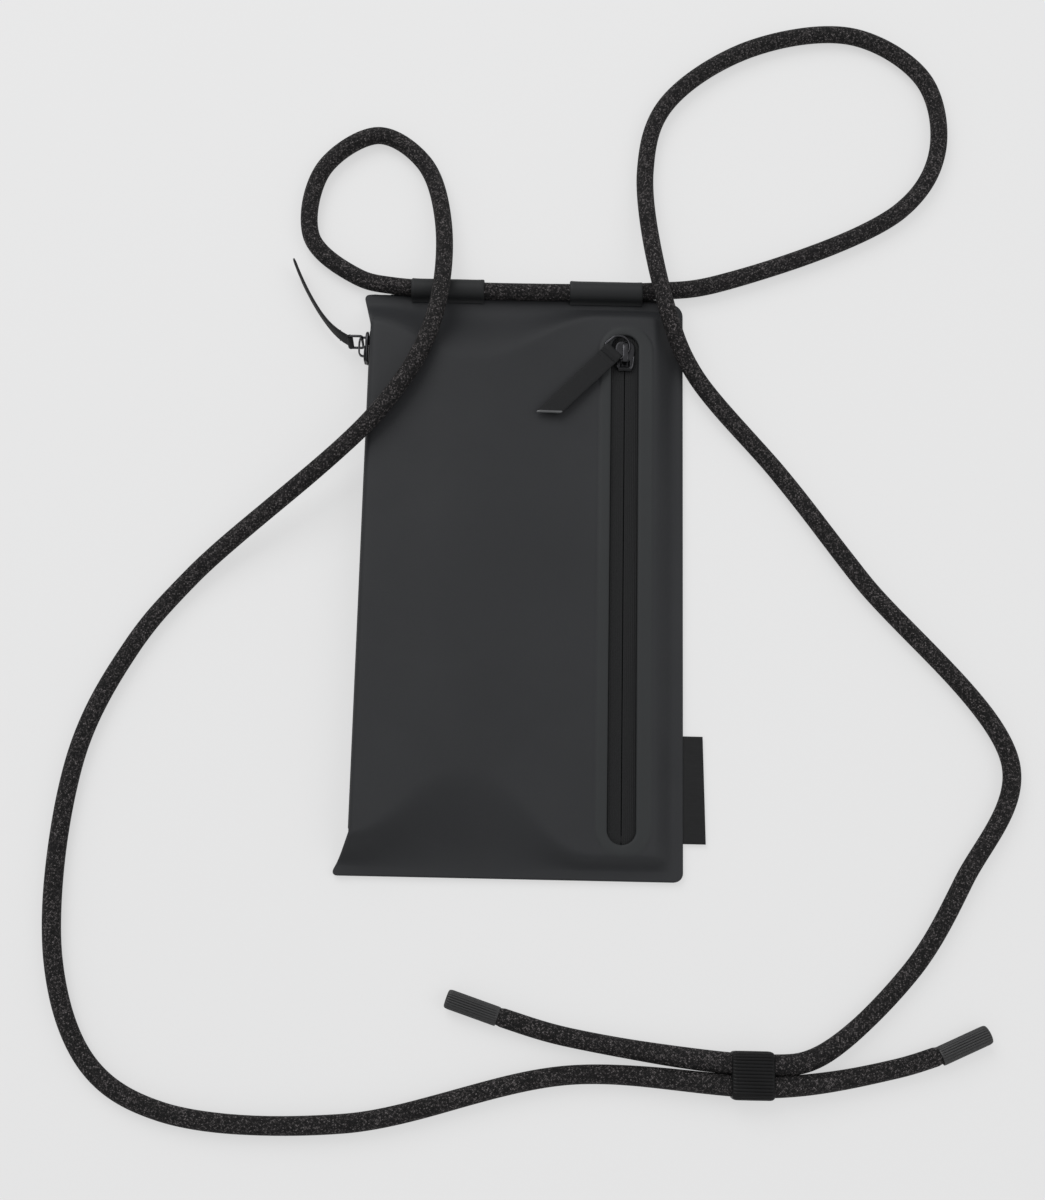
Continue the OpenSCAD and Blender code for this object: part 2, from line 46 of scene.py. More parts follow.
TAU = 2 * math.pi

# Sizes of the part, in millimetres: X to the right, Y up the pouch, Z off the floor.
# Outline: the ends, the seams, the left wall, its flared corners and the round corners
END_Y, SEAM_Y, SEAM_X, HALF_W = 100.5, 97.5, 51.5, 54.0
WALL_X, WALL_END = -54.6, 87.0
FLARE_LOW, FLARE_TOP, FLARE_POWER = 6.2, 3.6, 1.15
CORNER_R, LEFT_CORNER_LOW, LEFT_CORNER_TOP, RIGHT_CORNER_TOP = 3.0, 2.2, 2.0, 4.6

# Sheet thickness, heights of the front, the fold over the left wall and the weld of the back
FABRIC = 0.8
EDGE_Z, SHELF_Z, CROWN_RISE, SEAM_DROP = 2.0, 7.0, 5.2, 5.0
FOLD_X, FOLD_Z = 2.2, 2.0
WELD_IN, WELD_DEEP = 3.0, 0.15

# Front slot with its bonded band, and the side slot
SLOT_X, SLOT_W, SLOT_Y0, SLOT_Y1 = 33.5, 9.5, -89.2, 86.5
BAND_X, BAND_R, BAND_Y0, BAND_Y1 = 34.15, 9.05, -93.2, 89.5
SIDE_Z, SIDE_HALF = 6.0, 88.0

# Zip tapes and coils
TAPE_TOP, TAPE_T, SIDE_TAPE_X, SIDE_BOND_X = 5.9, 0.5, -55.1, -53.8
TAPE_HALF_W, TAPE_GAP, RIB_PITCH, RIB_DEEP = 6.75, 0.13, 0.62, 0.12
COIL_PITCH, COIL_WIRE_R = 0.84, 0.2

# Sliders, rings and pull tapes; the post is in the slider's own millimetres, angles in degrees
FRONT_SLIDER_Y, SIDE_SLIDER_Y = 80.0, 81.0
WIRE_R, RING_ARC_R, RING_HALF, RING_BAR = 0.45, 3.7, 3.95, 2.85
RING_POST, PULL_HEADING = (-2.2, 1.9, 2.4), 227
SIDE_TILT = math.radians(10)
FRONT_STRAP_L, SIDE_STRAP_W, SIDE_CUT, SEAM_R = 32.0, 6.5, 4.5, 0.11

# Cord, its tunnels and strip, the label, the adjuster and the end caps
CORD_R, TUNNEL_R, TUNNEL_L, TUNNEL_LIP_Y = 3.0, 3.6, 25.5, 97.7
TUNNELS = {"left": (-28.6, 103.5), "right": (26.9, 103.7)}
STRIP_X, STRIP_Y, STRIP_W = (-49, 50.5), 101.6, 2.0
LABEL_X, LABEL_Y = (53.3, 61.5), (-88.0, -52.5)
ADJUSTER = (75.5, -160.27, 4.2)
ADJUSTER_W, ADJUSTER_D, ADJUSTER_HALF, HOLE_Y, HOLE_R = 15.0, 8.4, 6.75, 3.22, 3.14
CAP_R, CAP_L = 3.2, 14.5

# Middle line of the neck cord, from the left end cap to the right one, in metres
CORD_ROUTE = np.array([
    [-8, -143, 3.2], [17.3, -149.8, 3], [80.4, -157.05, 4.25], [96.5, -154.2, 3.7],
    [127, -127, 3], [145, -98, 3.1], [162, -60.5, 3], [114, 2, 3.1], [88, 37, 3],
    [57.5, 73.5, 5.3], [48.5, 92.5, 10.6], [40.5, 150.5, 3], [47.5, 176.5, 3.1], [78, 200, 3],
    [116.5, 206, 3], [141.5, 189, 3], [145.5, 161, 3], [131.5, 137.5, 3], [66, 108, 3],
    [43.5, 104.5, 3.5], [-47.5, 104.5, 3.4], [-61, 108, 3], [-77.5, 122.5, 3], [-74.5, 149, 3],
    [-55.5, 162.5, 3], [-39, 152.5, 3], [-31, 128.5, 5.2], [-33.5, 85, 15], [-50, 54, 16.4],
    [-111.5, -2, 3.7], [-130.5, -27, 3], [-146, -64, 3], [-148, -129, 3], [-134, -161.5, 3],
    [-110.5, -175, 3], [-53, -177.5, 3], [17.5, -161.4, 3], [84.9, -163.5, 4.2],
    [121.3, -157.3, 3], [138, -152, 3.2]]) * MM


# ---- Camera ----

def aim_camera():
    """A 50 mm lens above the pouch, leaning back 13 degrees and rolled by 1.23."""
    tilt, roll = math.radians(13), math.radians(1.23)
    level = Vector((1, 0, 0))
    rising = Vector((0, math.cos(tilt), math.sin(tilt)))
    right = math.cos(roll) * level + math.sin(roll) * rising
    up = -math.sin(roll) * level + math.cos(roll) * rising
    turn = Matrix((right, up, right.cross(up))).transposed().to_4x4()
    data = bpy.data.cameras.new("camera")
    data.lens = 50
    data.sensor_width = 36
    data.clip_start = 0.01
    camera = bpy.data.objects.new("camera", data)
    bpy.context.scene.collection.objects.link(camera)
    camera.matrix_world = Matrix.Translation((-0.00013, -0.1339, 0.5496)) @ turn
    bpy.context.scene.camera = camera


aim_camera()


# ---- Meshes ----

def ease(t):
    """Smooth step from 0 to 1."""
    c = np.clip(t, 0, 1)
    return c * c * (3 - 2 * c)


def unit(v):
    """Each vector of an array divided by its own length."""
    return v / np.linalg.norm(v, axis=-1, keepdims=True)


def run_length(path):
    """Distance along a path at each of its points."""
    return np.concatenate([[0], np.cumsum(np.linalg.norm(np.diff(path, axis=0), axis=1))])


def at_height(outline, z):
    """A flat outline as a ring of points at one height."""
    return np.column_stack([outline, np.full(len(outline), z)])


def even_outline(path, count):
    """A closed outline as evenly spaced points, and the share of the way round at each."""
    run = np.vstack([path, path[:1]])
    s = run_length(run)
    t = np.linspace(0, s[-1], count, endpoint=False)
    return np.stack([np.interp(t, s, run[:, 0]), np.interp(t, s, run[:, 1])], 1), t / s[-1]


def grid_faces(rows, cols, wrap_rows=False, wrap_cols=False):
    """Quads between the neighbours of a grid of point numbers, joined round where told."""
    number = np.arange(rows * cols).reshape(rows, cols)
    if wrap_rows:
        number = np.vstack([number, number[:1]])
    if wrap_cols:
        number = np.hstack([number, number[:, :1]])
    return np.stack([number[:-1, :-1], number[:-1, 1:], number[1:, 1:], number[1:, :-1]],
                    axis=-1).reshape(-1, 4)


def piece(name, parts, material, body, stands_for=(), sharp=40, values=None):
    """One object from several grids. Each part is its points in millimetres, its quads, and
    the u and v of each corner of each quad, or None. Doubles are merged and the faces are
    turned outwards, then the object rides on its body. Values, one for each point, become the
    attribute that the fabric's paler band is drawn from."""
    points, quads, corners, base = [], [], [], 0
    for part_points, part_quads, part_uv in parts:
        points.append(part_points.reshape(-1, 3))
        quads.append(part_quads + base)
        corners.append(np.zeros((len(part_quads) * 4, 2)) if part_uv is None else part_uv)
        base += len(points[-1])
    points = np.concatenate(points) * MM
    quads = np.concatenate(quads)
    mesh = bpy.data.meshes.new(name)
    mesh.from_pydata(points.tolist(), [], quads.tolist())
    layer = mesh.uv_layers.new(name="along")
    layer.data.foreach_set("uv", np.concatenate(corners).astype(np.float32).ravel())
    if values is not None:
        tag = mesh.attributes.new("band", "FLOAT", "POINT")
        tag.data.foreach_set("value", values.astype(np.float32))
    work = bmesh.new()
    work.from_mesh(mesh)
    bmesh.ops.remove_doubles(work, verts=work.verts, dist=2e-6)
    bmesh.ops.dissolve_degenerate(work, edges=work.edges, dist=1e-7)
    bmesh.ops.recalc_face_normals(work, faces=work.faces)
    work.to_mesh(mesh)
    work.free()
    mesh.polygons.foreach_set("use_smooth", np.ones(len(mesh.polygons), bool))
    mesh.set_sharp_from_angle(angle=math.radians(sharp))
    mesh.materials.append(material)
    made = bpy.data.objects.new(name, mesh)
    bpy.context.scene.collection.objects.link(made)
    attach(made, body)
    if stands_for:
        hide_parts(*stands_for)
    return made


def surface(points, wrap_rows=False, wrap_cols=False):
    """A grid of points as one part: u runs with the columns from 0 to 1, and v is the
    distance along the rows in millimetres."""
    rows, cols = points.shape[:2]
    quads = grid_faces(rows, cols, wrap_rows, wrap_cols)
    u = np.linspace(0, 1, cols + 1 if wrap_cols else cols)
    steps = np.linalg.norm(np.diff(points, axis=0), axis=-1).mean(axis=1)
    v = np.concatenate([[0], np.cumsum(steps)])
    if wrap_rows:
        v = np.append(v, v[-1] + steps.mean())
    i, j = np.divmod(np.arange(len(quads)), len(u) - 1)
    uv = np.stack([np.stack([u[j], v[i]], -1), np.stack([u[j + 1], v[i]], -1),
                   np.stack([u[j + 1], v[i + 1]], -1), np.stack([u[j], v[i + 1]], -1)], 1)
    return points, quads, uv.reshape(-1, 2)


def closed_loft(rings):
    """Rings joined in order, with the first and the last drawn in to their own middle."""
    ends = [np.repeat(r.mean(axis=0, keepdims=True), len(r), axis=0) for r in (rings[0], rings[-1])]
    return surface(np.concatenate([[ends[0]], rings, [ends[1]]]), wrap_cols=True)


def shell(outer, inner, hole=None):
    """Two matching grids and the walls along their rims and round the cells of the hole."""
    rows, cols = outer.shape[:2]
    top = np.arange(rows * cols).reshape(rows, cols)
    low = top + rows * cols
    full = np.ones((rows - 1, cols - 1), bool) if hole is None else ~hole
    i, j = np.nonzero(full)
    quads = [np.stack([n[i, j], n[i, j + 1], n[i + 1, j + 1], n[i + 1, j]], 1) for n in (top, low)]
    edge = np.pad(full, 1)
    for di, dj, a, b in ((0, -1, (0, 0), (1, 0)), (0, 1, (0, 1), (1, 1)),
                         (-1, 0, (0, 0), (0, 1)), (1, 0, (1, 0), (1, 1))):
        p, q = np.nonzero(full & ~edge[1 + di:rows + di, 1 + dj:cols + dj])
        quads.append(np.stack([top[p + a[0], q + a[1]], top[p + b[0], q + b[1]],
                               low[p + b[0], q + b[1]], low[p + a[0], q + a[1]]], 1))
    return np.concatenate([outer.reshape(-1, 3), inner.reshape(-1, 3)]), np.concatenate(quads), None


def smooth_path(points, step, closed=False):
    """Centripetal curve through the points: knots are spaced by the root of the distance,
    the end points are mirrored, and each stretch takes steps of about the given length."""
    p = np.asarray(points, float)
    q = np.vstack([p[-1:], p, p[:2]]) if closed else np.vstack([2 * p[0] - p[1], p, 2 * p[-1] - p[-2]])
    out = []
    for a, b, c, d in zip(q[:-3], q[1:-2], q[2:-1], q[3:]):
        t1 = math.sqrt(np.linalg.norm(b - a))
        t2 = t1 + math.sqrt(np.linalg.norm(c - b))
        t3 = t2 + math.sqrt(np.linalg.norm(d - c))
        n = max(2, int(round(np.linalg.norm(c - b) / step)))
        t = np.linspace(t1, t2, n, endpoint=False)[:, None]
        a1 = ((t1 - t) * a + t * b) / t1
        a2 = ((t2 - t) * b + (t - t1) * c) / (t2 - t1)
        a3 = ((t3 - t) * c + (t - t2) * d) / (t3 - t2)
        b1 = ((t2 - t) * a1 + t * a2) / t2
        b2 = ((t3 - t) * a2 + (t - t1) * a3) / (t3 - t1)
        out.append(((t2 - t) * b1 + (t - t1) * b2) / (t2 - t1))
    return np.vstack(out if closed else out + [p[-1:]])


def tube_rings(path, radius, sides, normal=(0, 0, 1), closed=False):
    """Circles square to the path, turned so that the last quarter points against normal."""
    if closed:
        along = unit(np.roll(path, -1, 0) - np.roll(path, 1, 0))
    else:
        along = unit(np.gradient(path, axis=0))
    across = unit(np.cross(np.asarray(normal, float), along))
    up = np.cross(along, across)
    a = np.linspace(0, TAU, sides, endpoint=False)[:, None] - math.pi / 2
    size = np.broadcast_to(np.asarray(radius, float), (len(path),))[:, None, None]
    return path[:, None] + size * (np.cos(a) * across[:, None] + np.sin(a) * up[:, None])


def rounded_rod(path, radius, sides=12, normal=(0, 0, 1)):
    """A tube whose two ends are half balls: their rings shrink by the cosine and stand out
    by the sine of the same angle."""
    lead = unit(path[:1] - path[1:2])
    tail = unit(path[-1:] - path[-2:-1])
    a = np.linspace(0.2, 1, 4)[:, None] * math.pi / 2 * 0.96
    rings = tube_rings(path, radius, sides, normal)
    start = path[0] + np.cos(a)[:, None] * (rings[0] - path[0]) + (lead * np.sin(a) * radius)[:, None]
    end = path[-1] + np.cos(a)[:, None] * (rings[-1] - path[-1]) + (tail * np.sin(a) * radius)[:, None]
    return closed_loft(np.concatenate([start[::-1], rings, end]))


def box_ring(width, depth, corner, count=6):
    """Outline of a rectangle with round corners, as count points for each corner."""
    a = np.linspace(0, math.pi / 2, count)
    arc = np.stack([np.cos(a), np.sin(a)], 1) * corner
    w, d = width / 2 - corner, depth / 2 - corner
    turns = [((1, 1), 0), ((-1, 1), 1), ((-1, -1), 2), ((1, -1), 3)]
    out = []
    for (sx, sy), k in turns:
        c, s = math.cos(k * math.pi / 2), math.sin(k * math.pi / 2)
        out.append(arc @ np.array([[c, s], [-s, c]]) + [sx * w, sy * d])
    return np.vstack(out)


# ---- Materials ----

def add(tree, kind, values=(), **settings):
    """One shader node, with its inputs set or linked."""
    n = tree.nodes.new(kind)
    for key, value in settings.items():
        setattr(n, key, value)
    for key, value in dict(values).items():
        if isinstance(value, bpy.types.NodeSocket):
            tree.links.new(value, n.inputs[key])
        else:
            n.inputs[key].default_value = value
    return n


def calc(tree, operation, *values):
    """One Math node and its result."""
    return add(tree, "ShaderNodeMath", enumerate(values), operation=operation).outputs[0]


def blank(name, rough=0.5, metal=0.0, specular=0.5):
    """A material with its tree and its shader."""
    m = bpy.data.materials.new(name)
    m.use_nodes = True
    tree = m.node_tree
    shader = tree.nodes["Principled BSDF"]
    shader.inputs["Roughness"].default_value = rough
    shader.inputs["Metallic"].default_value = metal
    shader.inputs["Specular IOR Level"].default_value = specular
    return m, tree, shader


def place(tree, kind="Object"):
    """Object coordinates, or the piece's own u and v."""
    return add(tree, "ShaderNodeTexCoord").outputs[kind]


def scaled(tree, source, x, y, z):
    """The source with each of its axes multiplied."""
    return add(tree, "ShaderNodeMapping", {"Vector": source, "Scale": (x, y, z)}).outputs[0]


def noise(tree, source, scale, detail=2.0, rough=0.5):
    """Cloudy value from 0 to 1."""
    return add(tree, "ShaderNodeTexNoise",
               {"Vector": source, "Scale": scale, "Detail": detail, "Roughness": rough}).outputs[0]


def ramp(tree, value, stops):
    """Colours between the stops, each a place and a colour."""
    n = add(tree, "ShaderNodeValToRGB", {0: value})
    for element, (at, colour) in zip(n.color_ramp.elements, (stops[0], stops[-1])):
        element.position = at
        element.color = (*colour, 1)
    for at, colour in stops[1:-1]:
        n.color_ramp.elements.new(at).color = (*colour, 1)
    return n.outputs[0]


def spread(tree, value, low, high):
    """A value from 0 to 1 as one from low to high."""
    return add(tree, "ShaderNodeMapRange", {"Value": value, "To Min": low, "To Max": high}).outputs[0]


def bump(tree, shader, height, depth, strength=1.0, under=None):
    """Height from 0 to 1 as a bump that many metres deep."""
    values = {"Height": height, "Distance": depth, "Strength": strength}
    if under is not None:
        values["Normal"] = under
    n = add(tree, "ShaderNodeBump", values)
    tree.links.new(n.outputs[0], shader.inputs["Normal"])
    return n.outputs[0]


def coated_fabric(name, dark, light, lit_band=False):
    """Rubber-coated cloth: cloudy charcoal, a fine pebbled skin, and the threads of the cloth
    under it as two faint sets of waves. The bonded band round the slot is a little paler."""
    m, tree, shader = blank(name, specular=0.2)
    at = place(tree)
    cloud = noise(tree, at, 26, 3)
    grain = noise(tree, at, 1500, 3, 0.6)
    colour = ramp(tree, calc(tree, "ADD", calc(tree, "MULTIPLY", cloud, 0.75),
                             calc(tree, "MULTIPLY", grain, 0.25)), [(0.3, dark), (0.7, light)])
    if lit_band:
        band = add(tree, "ShaderNodeAttribute", attribute_name="band").outputs["Fac"]
        colour = add(tree, "ShaderNodeMix", {0: band, 6: colour, 7: (0.0244, 0.0262, 0.0272, 1)},
                     data_type="RGBA").outputs[2]
    tree.links.new(colour, shader.inputs["Base Color"])
    tree.links.new(spread(tree, noise(tree, at, 60, 4), 0.50, 0.66), shader.inputs["Roughness"])
    warp = add(tree, "ShaderNodeTexWave", {"Vector": at, "Scale": 520, "Distortion": 0.4},
               bands_direction="X").outputs[1]
    weft = add(tree, "ShaderNodeTexWave", {"Vector": at, "Scale": 520, "Distortion": 0.4},
               bands_direction="Y").outputs[1]
    threads = bump(tree, shader, calc(tree, "MULTIPLY", warp, weft), 0.00002, 0.35)
    bump(tree, shader, grain, 0.00004, 0.35, threads)
    return m


WAVE_LENGTH = 0.314  # distance between two crests of a wave texture of scale 1
STRANDS, STRAND_STEP = 24.0, 0.8  # braid strands round the cord, and millimetres for each


def ribbed_tape(name, dark, light, pitch):
    """Woven tape: threads across it between the ribs of the mesh, and a dusty fleck."""
    m, tree, shader = blank(name, 0.72, specular=0.18)
    at = place(tree)
    fleck = noise(tree, at, 2600, 2)
    tree.links.new(ramp(tree, fleck, [(0.35, dark), (0.72, light)]), shader.inputs["Base Color"])
    across = add(tree, "ShaderNodeTexWave",
                 {"Vector": at, "Scale": WAVE_LENGTH / pitch, "Distortion": 0.6},
                 bands_direction="Y").outputs[1]
    tree.links.new(spread(tree, fleck, 0.62, 0.8), shader.inputs["Roughness"])
    bump(tree, shader, across, 0.00006, 0.5)
    return m


def metal(name, colour, rough):
    """Plated metal: a tint that clouds slightly, fine polishing marks and worn gloss."""
    m, tree, shader = blank(name, rough, 1.0)
    at = place(tree)
    cloud = noise(tree, at, 300, 3)
    dark, light = [tuple(c * share for c in colour) for share in (0.8, 1.2)]
    tree.links.new(ramp(tree, cloud, [(0.3, dark), (0.7, light)]), shader.inputs["Base Color"])
    marks = noise(tree, scaled(tree, at, 6000, 900, 6000), 1, 2)
    tree.links.new(spread(tree, marks, rough * 0.75, rough * 1.35), shader.inputs["Roughness"])
    bump(tree, shader, marks, 0.00001, 0.25)
    return m


def rubber(name, dark, light, specular=0.16):
    """Moulded rubber: even black with a fine sandy skin, duller in patches."""
    m, tree, shader = blank(name, specular=specular)
    at = place(tree)
    grain = noise(tree, at, 3800, 2)
    patches = noise(tree, at, 120, 3)
    tree.links.new(ramp(tree, patches, [(0.3, dark), (0.7, light)]), shader.inputs["Base Color"])
    tree.links.new(spread(tree, grain, 0.34, 0.52), shader.inputs["Roughness"])
    bump(tree, shader, grain, 0.00002, 0.4)
    return m


def braid(name):
    """Diamond braid. On u, the turn round the cord, and v, millimetres along it, two sets of
    slanted strands are a = 24u + v/0.8 and b = 24u - v/0.8. Where the whole parts of a and b
    add to an even number the first set is on top, else the second. Each crossing has its own
    random tone, and thin yarn lines run along the strand on top. Low between the strands and
    between the yarn lines the colour goes to near black, as painted shade."""
    m, tree, shader = blank(name, 0.78, specular=0.15)
    split = add(tree, "ShaderNodeSeparateXYZ", {0: place(tree, "UV")})
    turned = calc(tree, "MULTIPLY", split.outputs[0], STRANDS)
    along = calc(tree, "DIVIDE", split.outputs[1], STRAND_STEP)
    a, b = calc(tree, "ADD", turned, along), calc(tree, "SUBTRACT", turned, along)
    fa, fb = calc(tree, "FLOOR", a), calc(tree, "FLOOR", b)
    ra, rb = calc(tree, "FRACT", a), calc(tree, "FRACT", b)
    odd = calc(tree, "ABSOLUTE", calc(tree, "MODULO", calc(tree, "ADD", fa, fb), 2.0))
    side = add(tree, "ShaderNodeMix", {0: odd, 2: rb, 3: ra}).outputs[0]
    length = add(tree, "ShaderNodeMix", {0: odd, 2: ra, 3: rb}).outputs[0]
    round_top = calc(tree, "SINE", calc(tree, "MULTIPLY", side, math.pi))
    dip = calc(tree, "SINE", calc(tree, "MULTIPLY", length, math.pi))
    height = calc(tree, "MULTIPLY", calc(tree, "POWER", round_top, 0.6), calc(tree, "POWER", dip, 0.4))
    yarn = calc(tree, "ABSOLUTE", calc(tree, "SINE", calc(tree, "MULTIPLY", side, 3 * math.pi)))
    number = add(tree, "ShaderNodeCombineXYZ", {0: calc(tree, "FLOORED_MODULO", fa, STRANDS),
                                                1: calc(tree, "SUBTRACT", fa, fb)})
    shade = add(tree, "ShaderNodeTexWhiteNoise", {"Vector": number.outputs[0]},
                noise_dimensions="2D").outputs[0]
    speck = add(tree, "ShaderNodeTexVoronoi", {"Vector": place(tree), "Scale": 2700.0})
    speck = add(tree, "ShaderNodeSeparateColor", {0: speck.outputs["Color"]}).outputs[0]
    mixed = calc(tree, "ADD", calc(tree, "MULTIPLY", shade, 0.5), calc(tree, "MULTIPLY", speck, 0.5))
    flecks = ramp(tree, mixed, [(0.0, (0.007, 0.007, 0.007)), (0.40, (0.010, 0.0095, 0.010)),
                                (0.58, (0.026, 0.024, 0.024)), (0.76, (0.086, 0.079, 0.079)),
                                (1.0, (0.190, 0.174, 0.174))])
    # Painted shade: low between the strands and between the yarn lines the colour goes to near black.
    groove_shade_mask = calc(tree, "MULTIPLY", spread(tree, height, 0.18, 1.0), spread(tree, yarn, 0.7, 1.0))
    tree.links.new(add(tree, "ShaderNodeMix", {0: groove_shade_mask, 6: (0.003, 0.003, 0.003, 1), 7: flecks},
                       data_type="RGBA").outputs[2], shader.inputs["Base Color"])
    fine = bump(tree, shader, yarn, 0.00004, 0.4)
    bump(tree, shader, height, 0.00015, 0.8, fine)
    return m


def satin(name):
    """Woven satin ribbon: fine raised threads across it and a soft sheen."""
    m, tree, shader = blank(name, 0.46, specular=0.2)
    at = place(tree)
    tree.links.new(ramp(tree, noise(tree, scaled(tree, at, 1, 8, 1), 400, 3),
                        [(0.3, (0.0050, 0.0052, 0.0056)), (0.7, (0.0080, 0.0082, 0.0088))]),
                   shader.inputs["Base Color"])
    threads = add(tree, "ShaderNodeTexWave", {"Vector": at, "Scale": 1250.0, "Distortion": 0.3},
                  bands_direction="Y").outputs[1]
    tree.links.new(spread(tree, threads, 0.38, 0.56), shader.inputs["Roughness"])
    bump(tree, shader, threads, 0.00003, 0.5)
    return m


POUCH = coated_fabric("coated_fabric", (0.0196, 0.0204, 0.0221), (0.0238, 0.0248, 0.0267), True)
SLEEVE = coated_fabric("sleeve_fabric", (0.0140, 0.0148, 0.0155), (0.0185, 0.0193, 0.0200))
LINING = ribbed_tape("lining_weave", (0.010, 0.0105, 0.011), (0.017, 0.018, 0.019), 0.0004)
FILM = rubber("bond_film_skin", (0.014, 0.015, 0.016), (0.018, 0.019, 0.020))
TAPE = ribbed_tape("zip_tape_weave", (0.0085, 0.0088, 0.0092), (0.0145, 0.0150, 0.0157), 0.0005)
COIL = rubber("coil_nylon", (0.004, 0.004, 0.0043), (0.008, 0.008, 0.0085))
NICKEL = metal("black_nickel_plate", (0.030, 0.030, 0.032), 0.28)
# The rings take this paler wire metal as their finish; on the sliders' bridges it is a painted
# highlight.
WIRE_AND_BRIDGE_HIGHLIGHT = metal("black_nickel_wire_and_bridge_highlight", (0.042, 0.042, 0.045), 0.20)
PULL = ribbed_tape("pull_webbing", (0.0080, 0.0083, 0.0088), (0.0135, 0.0140, 0.0148), 0.0004)
THREAD = ribbed_tape("stitch_thread", (0.014, 0.015, 0.016), (0.024, 0.025, 0.026), 0.0002)
# The sealed cut edges are much paler than the webbing: partly their own grey, partly a painted highlight
# along the cut.
SEALED_GREY_AND_HIGHLIGHT = rubber("sealed_edge_grey_and_highlight", (0.050, 0.052, 0.054), (0.085, 0.087, 0.090))
for socket, value in (("Coat Weight", 0.8), ("Coat Roughness", 0.12)):
    SEALED_GREY_AND_HIGHLIGHT.node_tree.nodes["Principled BSDF"].inputs[socket].default_value = value
LABEL = satin("label_satin_weave")
BRAID = braid("cord_braid")
RUBBER = rubber("ribbed_rubber", (0.0020, 0.0020, 0.0022), (0.0040, 0.0041, 0.0044))
CAP_RUBBER = rubber("cap_rubber", (0.0060, 0.0060, 0.0064), (0.0110, 0.0111, 0.0118), 0.5)


# ---- Neck cord ----

def make_cord():
    """A round tube along the route, with rings 1.2 mm apart, kept just above the floor. It
    swells by 0.36 mm where its two ends lie together, and its last 3 mm are squeezed by the
    caps. It also swells and thins by 0.06 mm along its length, as a braid does."""
    path = smooth_path(CORD_ROUTE / MM, 1.2)
    s = run_length(path)
    from_end = np.minimum(s, s[-1] - s)
    pair = np.exp(-((path[:, 0] - 71) / 30) ** 4) * (path[:, 1] < -145)
    radius = CORD_R + 0.36 * pair + 0.03 * np.sin(s / 7.3) * np.sin(s / 19 + 1)
    radius = radius - 0.3 * ease((4.4 - from_end) / 1.4)
    path[:, 2] = np.maximum(path[:, 2], np.maximum(radius, CORD_R))
    cord = piece("neck_cord_braid", [closed_loft(tube_rings(path, radius, 28))], BRAID, "pouch",
                 ["neck_cord"])
    return cord, path


cord, cord_path = make_cord()


# ---- Cord adjuster and end caps ----

def make_adjuster():
    """The body is an outline of 15 by 8.4 mm with fine ribs, carried 13.5 mm along the cord and
    drawn in at both ends. Its end faces run from each half of the outline to a round hole."""
    ribs, rib_deep, end_inset = 40, 0.24, 0.80
    base, share = even_outline(box_ring(ADJUSTER_W, ADJUSTER_D, 2.6, 24), 360)
    out = unit(np.roll(base, -1, 0) - np.roll(base, 1, 0))[:, ::-1] * [1, -1]
    groove = rib_deep * np.abs(np.sin(math.pi * ribs * share)) ** 0.7 - rib_deep
    half = ADJUSTER_HALF
    edge = [(0, end_inset, 0.0), (0.1, 0.60, 0.15), (0.35, 0.36, 0.5), (0.8, 0.14, 0.85),
            (1.5, 0.03, 1.0)]
    stations = [(x - half, inset, k) for x, inset, k in edge] + [(0, 0.0, 1.0)]
    stations += [(half - x, inset, k) for x, inset, k in edge[::-1]]
    rings = [np.column_stack([np.full(len(base), x), base + out * (groove * k - inset)[:, None]])
             for x, inset, k in stations]
    parts = [surface(np.array(rings), wrap_cols=True)]
    rim = base - out * end_inset
    for side in (-1, 1):
        centre = np.array([side * HOLE_Y, 0.0])
        keep = rim[rim[:, 0] * side > 0]
        top = np.array([[0.0, rim[:, 1].max()], [0.0, 0.0], [0.0, rim[:, 1].min()]])
        border = np.vstack([keep, top]) - centre
        angle = np.arctan2(border[:, 1], border[:, 0])
        order = np.argsort(angle)
        border, angle = border[order], angle[order]
        hole = HOLE_R * np.stack([np.cos(angle), np.sin(angle)], 1)
        for x in (-half, half):
            near = np.column_stack([np.full(len(angle), x), border + centre])
            far = np.column_stack([np.full(len(angle), x), hole + centre])
            parts.append(surface(np.array([near, near * 0.5 + far * 0.5, far]), wrap_cols=True))
        bore = [np.column_stack([np.full(len(angle), x), hole + centre])
                for x in (-half, -2, 2, half)]
        parts.append(surface(np.array(bore), wrap_cols=True))
    parts = [(p + np.array(ADJUSTER), q, uv) for p, q, uv in parts]
    return piece("adjuster_ribbed", parts, RUBBER, "adjuster", ["cord_adjuster"],
                 50)


def make_cap(name, node, end, back, swing):
    """A ribbed barrel turned about the cord's end: its profile goes from the socket's floor
    out over the lip, along the ribs, over a round edge and in to the middle of its end. It
    points along the cord, but for a small swing in degrees."""
    ribs, rib_deep = 22, 0.26
    a = np.linspace(0, TAU, 14 * ribs, endpoint=False)
    rib = -rib_deep * (1 - np.abs(np.cos(ribs * a / 2)) ** 0.7)
    profile = [(0.02, 0, 0), (2.74, 0, 0), (2.80, -2.9, 0), (2.95, -3.0, 0), (3.05, -2.95, 0),
               (3.09, -2.8, 0.15), (3.11, -2.5, 0.5), (3.12, -2.0, 1), (3.12, 5, 1), (3.12, 12.8, 1),
               (3.08, 13.4, 0.9), (2.96, 13.95, 0.7), (2.72, 14.3, 0.45), (2.3, 14.45, 0.2),
               (1.5, CAP_L, 0), (0.02, CAP_L, 0)]
    heading = math.atan2(end[1] - back[1], end[0] - back[0]) + math.radians(swing)
    way = np.array([math.cos(heading), math.sin(heading), 0.0])
    across, up = np.cross([0, 0, 1.0], way), np.array([0, 0, 1.0])
    start = np.array([end[0], end[1], CAP_R])
    rings = []
    for r, x, k in profile:
        radius = (r + rib * k)[:, None]
        rings.append(start + way * x
                     + radius * (np.cos(a)[:, None] * across + np.sin(a)[:, None] * up))
    return piece(name, [closed_loft(np.array(rings))], CAP_RUBBER, "pouch", [node],
                 50)


